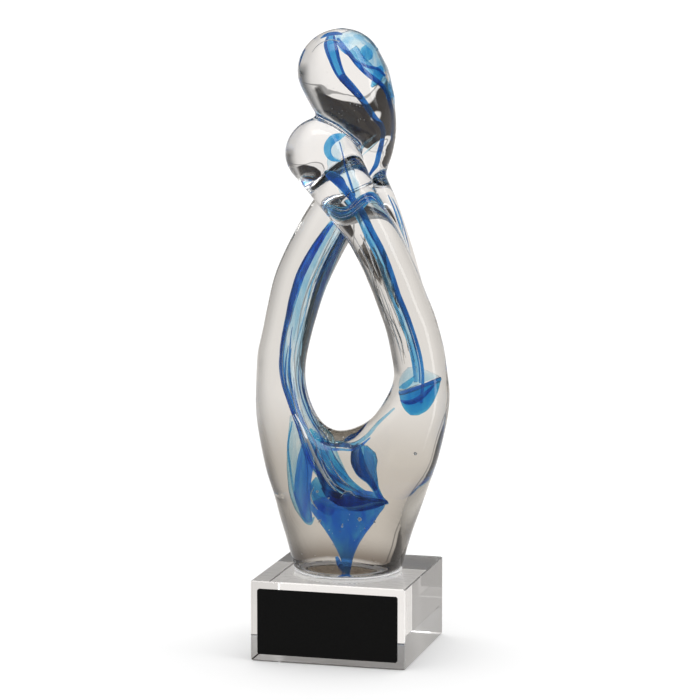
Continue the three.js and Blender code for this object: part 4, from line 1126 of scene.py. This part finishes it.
def lofted_block():
    """A block as rings of equal point counts: the square outline with cut corners, stepped in at
    the edges, and a circle on the top face that marks where the foot is bonded."""
    low, high = (np.array(corner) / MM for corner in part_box("base_block"))
    middle, half = (low + high) / 2, (high - low) / 2
    count = 4 * BLOCK_POINTS_PER_SIDE
    bearing = circle_of(count) + np.pi / 4

    def square(inset, height):
        """A square with its corners cut off by the edge width, sampled evenly along its sides."""
        side = np.linspace(-1, 1, BLOCK_POINTS_PER_SIDE)
        x, y = half[0] - inset, half[1] - inset
        walls = [
            np.stack([-side * (x - BLOCK_EDGE), np.full_like(side, y)], axis=1),
            np.stack([np.full_like(side, -x), -side * (y - BLOCK_EDGE)], axis=1),
            np.stack([side * (x - BLOCK_EDGE), np.full_like(side, -y)], axis=1),
            np.stack([np.full_like(side, x), side * (y - BLOCK_EDGE)], axis=1),
        ]
        return np.column_stack([np.concatenate(walls) + middle[:2], np.full(count, height)])

    circle = np.column_stack([
        middle[0] + CONTACT_RADIUS * np.cos(bearing), middle[1] + CONTACT_RADIUS * np.sin(bearing),
        np.full(count, high[2]),
    ])
    rings = np.stack([
        square(BLOCK_EDGE, low[2]), square(0, low[2] + BLOCK_EDGE),
        square(0, high[2] - BLOCK_EDGE), square(BLOCK_EDGE, high[2]), circle,
    ])
    return skin(rings, [[middle[0], middle[1], low[2]]], [[middle[0], middle[1], high[2]]])


def crystal_block():
    """The polished block, with the bonded circle in painted shade and the ground underside as other
    materials.
    """
    piece = mesh_object("crystal_block", lofted_block(), raise_to_foot=False)
    mesh = piece.data
    mesh.shade_flat()
    finished(piece, CRYSTAL, "crystal", "base_block")
    # The bonded circle on top takes the painted shade
    mesh.materials.append(BONDED_SHADE)
    mesh.materials.append(GROUND)
    sides = 4 * BLOCK_POINTS_PER_SIDE
    index = np.zeros(len(mesh.polygons), int)
    index[-sides:] = 1
    index[-2 * sides:-sides] = 2
    mesh.polygons.foreach_set("material_index", index)


def bond_bead():
    """The bead of bond squeezed out round the foot: an oval section carried round a circle."""
    around, section = circle_of(BEAD_PLACES)[:, None], circle_of(BEAD_SIDES)[None, :]
    radius = BEAD_CENTRE + BEAD_HALF_WIDTH * np.cos(section)
    height = BEAD_LIFT + BEAD_HALF_HEIGHT * np.sin(section)
    body = ring_faces(np.stack([
        np.cos(around) * radius, np.sin(around) * radius, height + 0 * around,
    ], axis=2), inward=True)
    finished(mesh_object("bond_bead", body), BOND, "bond", "foot_bond")


def grained(name, size, spans, **uniform):
    """A finish with a fine grain: noise between two values on some inputs, others uniform."""
    material, nodes, links, shader = new_material(name)
    given(shader, **uniform)
    place = placed(nodes, "TexCoord")
    noise = placed(nodes, "TexNoise", Scale=size)
    links.new(place.outputs["Object"], noise.inputs["Vector"])
    for socket, (low, high) in spans.items():
        spread = placed(nodes, "MapRange", To_Min=low, To_Max=high)
        links.new(noise.outputs["Fac"], spread.inputs["Value"])
        links.new(spread.outputs["Result"], shader.inputs[socket])
    return material


def cad_material(node, material):
    """A better material for a CAD node whose shape is right."""
    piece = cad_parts[node]
    piece.data.materials.clear()
    piece.data.materials.append(material)


crystal_block()
bond_bead()
cad_material("name_plate", grained(
    "Black Plate Lacquer", 900.0, {"Base Color": (0.0025, 0.006), "Roughness": (0.28, 0.42)},
    Specular_IOR_Level=0.12))
cad_material("plate_tape", grained(
    "White Tape", 1500.0, {"Base Color": (0.72, 0.86)}, Roughness=0.6))


# Floor, light and camera

FLOOR_REACH = 12000.0
NEAR_ZERO = 0.001
FLOOR = (0.93, 0.93, 0.93, 1)
TABLE = (1.0, 0.965, 0.93)
WALL = (0.024, 0.019, 0.016, 1)
CEILING = (0.95, 0.94, 0.92, 1)
FRONT_ROOM = (0.32, 0.31, 0.30, 1)
NEAR_TABLE = (0.66, 0.64, 0.61, 1)
CARD = (1.02, 1.02, 1.01, 1)
LAMP = (3.0, 3.0, 3.0, 1)
BACKDROP = (1.06, 1.06, 1.06, 1)

# Lines drawn across the background: an angle to the right of the view and an angle up
TABLE_EDGE = [
    (-90, -14), (-45, -9), (-33, -5), (-25, -0.5), (-18, 3.4), (-13, 5), (-6, 5.4), (1, 4.4),
    (7, 4.6), (12, 5.6), (17, 7.6), (26, 10), (38, 12.1), (90, 13),
]
WALL_FOOT = [
    (-90, -12), (-45, -6), (-33, -2), (-25, 2.5), (-17, 6.8), (-9, 8.8), (0, 9.8), (6, 10),
    (12, 9), (20, 9), (28, 11.7), (36, 15.1), (90, 17),
]

# Cards: azimuth from the front towards +X, elevation, half-width, half-height, softness, colour
CARDS = [(-60, 30, 22, 40, 0.6, CARD), (75, 25, 7, 42, 0.1, LAMP), (10, 72, 24, 12, 0.2, LAMP)]


def studio_world():
    """White to the camera and to the floor; to the glass a pale table, a dark wall and cards."""
    world = bpy.data.worlds.new("Studio")
    bpy.context.scene.world = world
    world.use_nodes = True
    nodes, links = world.node_tree.nodes, world.node_tree.links
    nodes.clear()
    direction = placed(nodes, "TexCoord").outputs["Generated"]
    split = placed(nodes, "SeparateXYZ")
    links.new(direction, split.inputs["Vector"])

    def wired(*pairs):
        """Each input is given its value, or is linked to an output."""
        for socket, value in pairs:
            if isinstance(value, bpy.types.NodeSocket):
                links.new(value, socket)
            else:
                socket.default_value = value

    def mapped(value, low, high):
        """A smooth step of a value from low to high."""
        entry, result = smooth_range(nodes, low, high)
        links.new(value, entry)
        return result

    def dot(vector):
        """The share of the direction that lies along a vector."""
        node = placed(nodes, "VectorMath")
        node.operation = "DOT_PRODUCT"
        wired(*zip(node.inputs, (direction, tuple(vector))))
        return node.outputs["Value"]

    def maths(operation, *values):
        node = placed(nodes, "Math")
        node.operation = operation
        wired(*zip(node.inputs, values))
        return node.outputs["Value"]

    def times(a, b):
        return maths("MULTIPLY", a, b)

    def less(a, b):
        return maths("SUBTRACT", a, b)

    def blend(factor, a, b):
        """One colour where the factor is 0, the other where it is 1."""
        *sockets, result = colour_mix(nodes)
        wired(*zip(sockets, (factor, a, b)))
        return result

    def panel(azimuth, elevation, half_width, half_height, soft):
        """A soft-edged card, seen at an azimuth from the front (-Y) towards +X."""
        a, e = math.radians(azimuth), math.radians(elevation)
        facing = np.array([math.sin(a) * math.cos(e), -math.cos(a) * math.cos(e), math.sin(e)])
        sideways = np.array([math.cos(a), math.sin(a), 0.0])
        ahead = dot(facing)
        safe = maths("MAXIMUM", ahead, NEAR_ZERO)
        mask = mapped(ahead, 0.0, 0.05)
        for axis, half in ((sideways, half_width), (np.cross(facing, sideways), half_height)):
            reach = maths("ABSOLUTE", maths("DIVIDE", dot(axis), safe))
            edge = math.tan(math.radians(half))
            mask = times(mask, less(1.0, mapped(reach, edge * (1 - soft), edge * (1 + soft))))
        return mask

    height = split.outputs["Z"]
    view = np.array([-math.sin(CAMERA_TURN), math.cos(CAMERA_TURN), 0.0])
    aside = np.array([math.cos(CAMERA_TURN), math.sin(CAMERA_TURN), 0.0])
    level = maths("SQRT", less(1.0, times(height, height)))
    right = maths("DIVIDE", dot(aside), maths("MAXIMUM", level, NEAR_ZERO))
    left = times(right, -1.0)

    def between(value, low, high):
        """A soft step from one angle to another, in degrees, of a value that is a sine."""
        return mapped(value, math.sin(math.radians(low)), math.sin(math.radians(high)))

    def above(points):
        """The height over a line drawn across the background, as a sine."""
        node = placed(nodes, "FloatCurve")
        curve = node.mapping.curves[0]
        rows = [(0.5 + 0.5 * math.sin(math.radians(a)), 0.5 + math.sin(math.radians(e)))
                for a, e in points]
        curve.points[0].location, curve.points[1].location = rows[0], rows[-1]
        for row in rows[1:-1]:
            curve.points.new(*row)
        node.mapping.update()
        links.new(times(maths("ADD", right, 1.0), 0.5), node.inputs["Value"])
        return less(height, less(node.outputs["Value"], 0.5))

    # The table is less bright up and out to the sides, along its edge and beyond it
    over_edge, over_foot = above(TABLE_EDGE), above(WALL_FOOT)
    edge_line = times(between(over_edge, -0.7, -0.2), less(1.0, between(over_edge, 0.3, 0.9)))
    light = 1.0
    for share, mask in (
            (0.08, between(height, -40, -10)), (0.24, between(right, 12, 40)),
            (0.16, between(left, 18, 45)),
            (0.55, times(between(right, 30, 48), between(height, -14, -3))),
            (0.62, edge_line), (0.10, between(over_edge, 0.4, 1.6))):
        light = times(light, less(1.0, times(share, mask)))
    tone = placed(nodes, "VectorMath")
    tone.operation = "SCALE"
    wired((tone.inputs[0], TABLE), (tone.inputs["Scale"], light))
    # The wall is dark over its foot, less its right part and upper right corner, and far aside
    dark = times(between(over_foot, -0.6, 0.6), less(1.0, between(right, 30, 40)))
    dark = times(dark, less(1.0, times(between(right, 24, 32), between(height, 30, 38))))
    dark_aside = times(times(between(right, 40, 60), between(height, -4, 2)), 0.85)
    seen = blend(maths("MAXIMUM", dark, dark_aside), tone.outputs["Vector"], WALL)
    front = mapped(dot(-view), -0.1, 0.5)
    seen = blend(mapped(height, 0.55, 0.85), seen, CEILING)
    seen = blend(front, seen, FRONT_ROOM)
    below = times(front, between(times(height, -1.0), 22, 42))
    seen = blend(below, seen, NEAR_TABLE)
    for *place, tint in CARDS:
        seen = blend(panel(*place), seen, tint)

    path = placed(nodes, "LightPath")
    plain = maths("MAXIMUM", path.outputs["Is Camera Ray"], path.outputs["Is Diffuse Ray"])
    background = placed(nodes, "Background")
    output = placed(nodes, "OutputWorld")
    links.new(blend(plain, seen, BACKDROP), background.inputs["Color"])
    links.new(background.outputs["Background"], output.inputs["Surface"])


def pale_floor():
    """A wide pale floor under the block, which only the camera and soft light see."""
    reach, level = FLOOR_REACH, -FLOOR_GAP / MM
    corners = np.array([(-reach, -reach, level), (reach, -reach, level), (reach, reach, level),
                        (-reach, reach, level)])
    floor = mesh_object("floor", (corners, [np.array([[0, 1, 2, 3]])]), raise_to_foot=False)
    material, _, _, shader = new_material("Pale Floor")
    given(shader, Base_Color=FLOOR, Roughness=0.9, Specular_IOR_Level=0.0)
    floor.data.materials.append(material)
    floor.visible_transmission = floor.visible_glossy = False


def studio_camera():
    """The camera of the photograph: its turn, its rise and its scale at the aim."""
    rise, turn = CAMERA_RISE, CAMERA_TURN
    back = np.array([math.sin(turn) * math.cos(rise), -math.cos(turn) * math.cos(rise),
                     math.sin(rise)])
    data = bpy.data.cameras.new("Camera")
    data.lens = CAMERA_SENSOR * PHOTO_SCALE * (CAMERA_DISTANCE / MM) / PHOTO_WIDTH
    data.sensor_width = CAMERA_SENSOR
    data.clip_start = 0.01
    data.clip_end = 100.0
    camera = bpy.data.objects.new("Camera", data)
    camera.location = CAMERA_AIM + CAMERA_DISTANCE * back
    camera.rotation_euler = (math.pi / 2 - rise, 0.0, turn)
    bpy.context.scene.collection.objects.link(camera)
    bpy.context.scene.camera = camera


def ray_settings():
    """Enough bounces for light that passes many skins of glass."""
    scene = bpy.context.scene
    scene.view_settings.view_transform = "Standard"
    cycles = scene.cycles
    cycles.max_bounces = cycles.transmission_bounces = 24
    cycles.glossy_bounces = 12
    cycles.transparent_max_bounces = 16
    cycles.caustics_reflective = cycles.caustics_refractive = False
    cycles.sample_clamp_indirect = 8.0
    cycles.use_denoising = True


studio_world()
pale_floor()
studio_camera()
ray_settings()
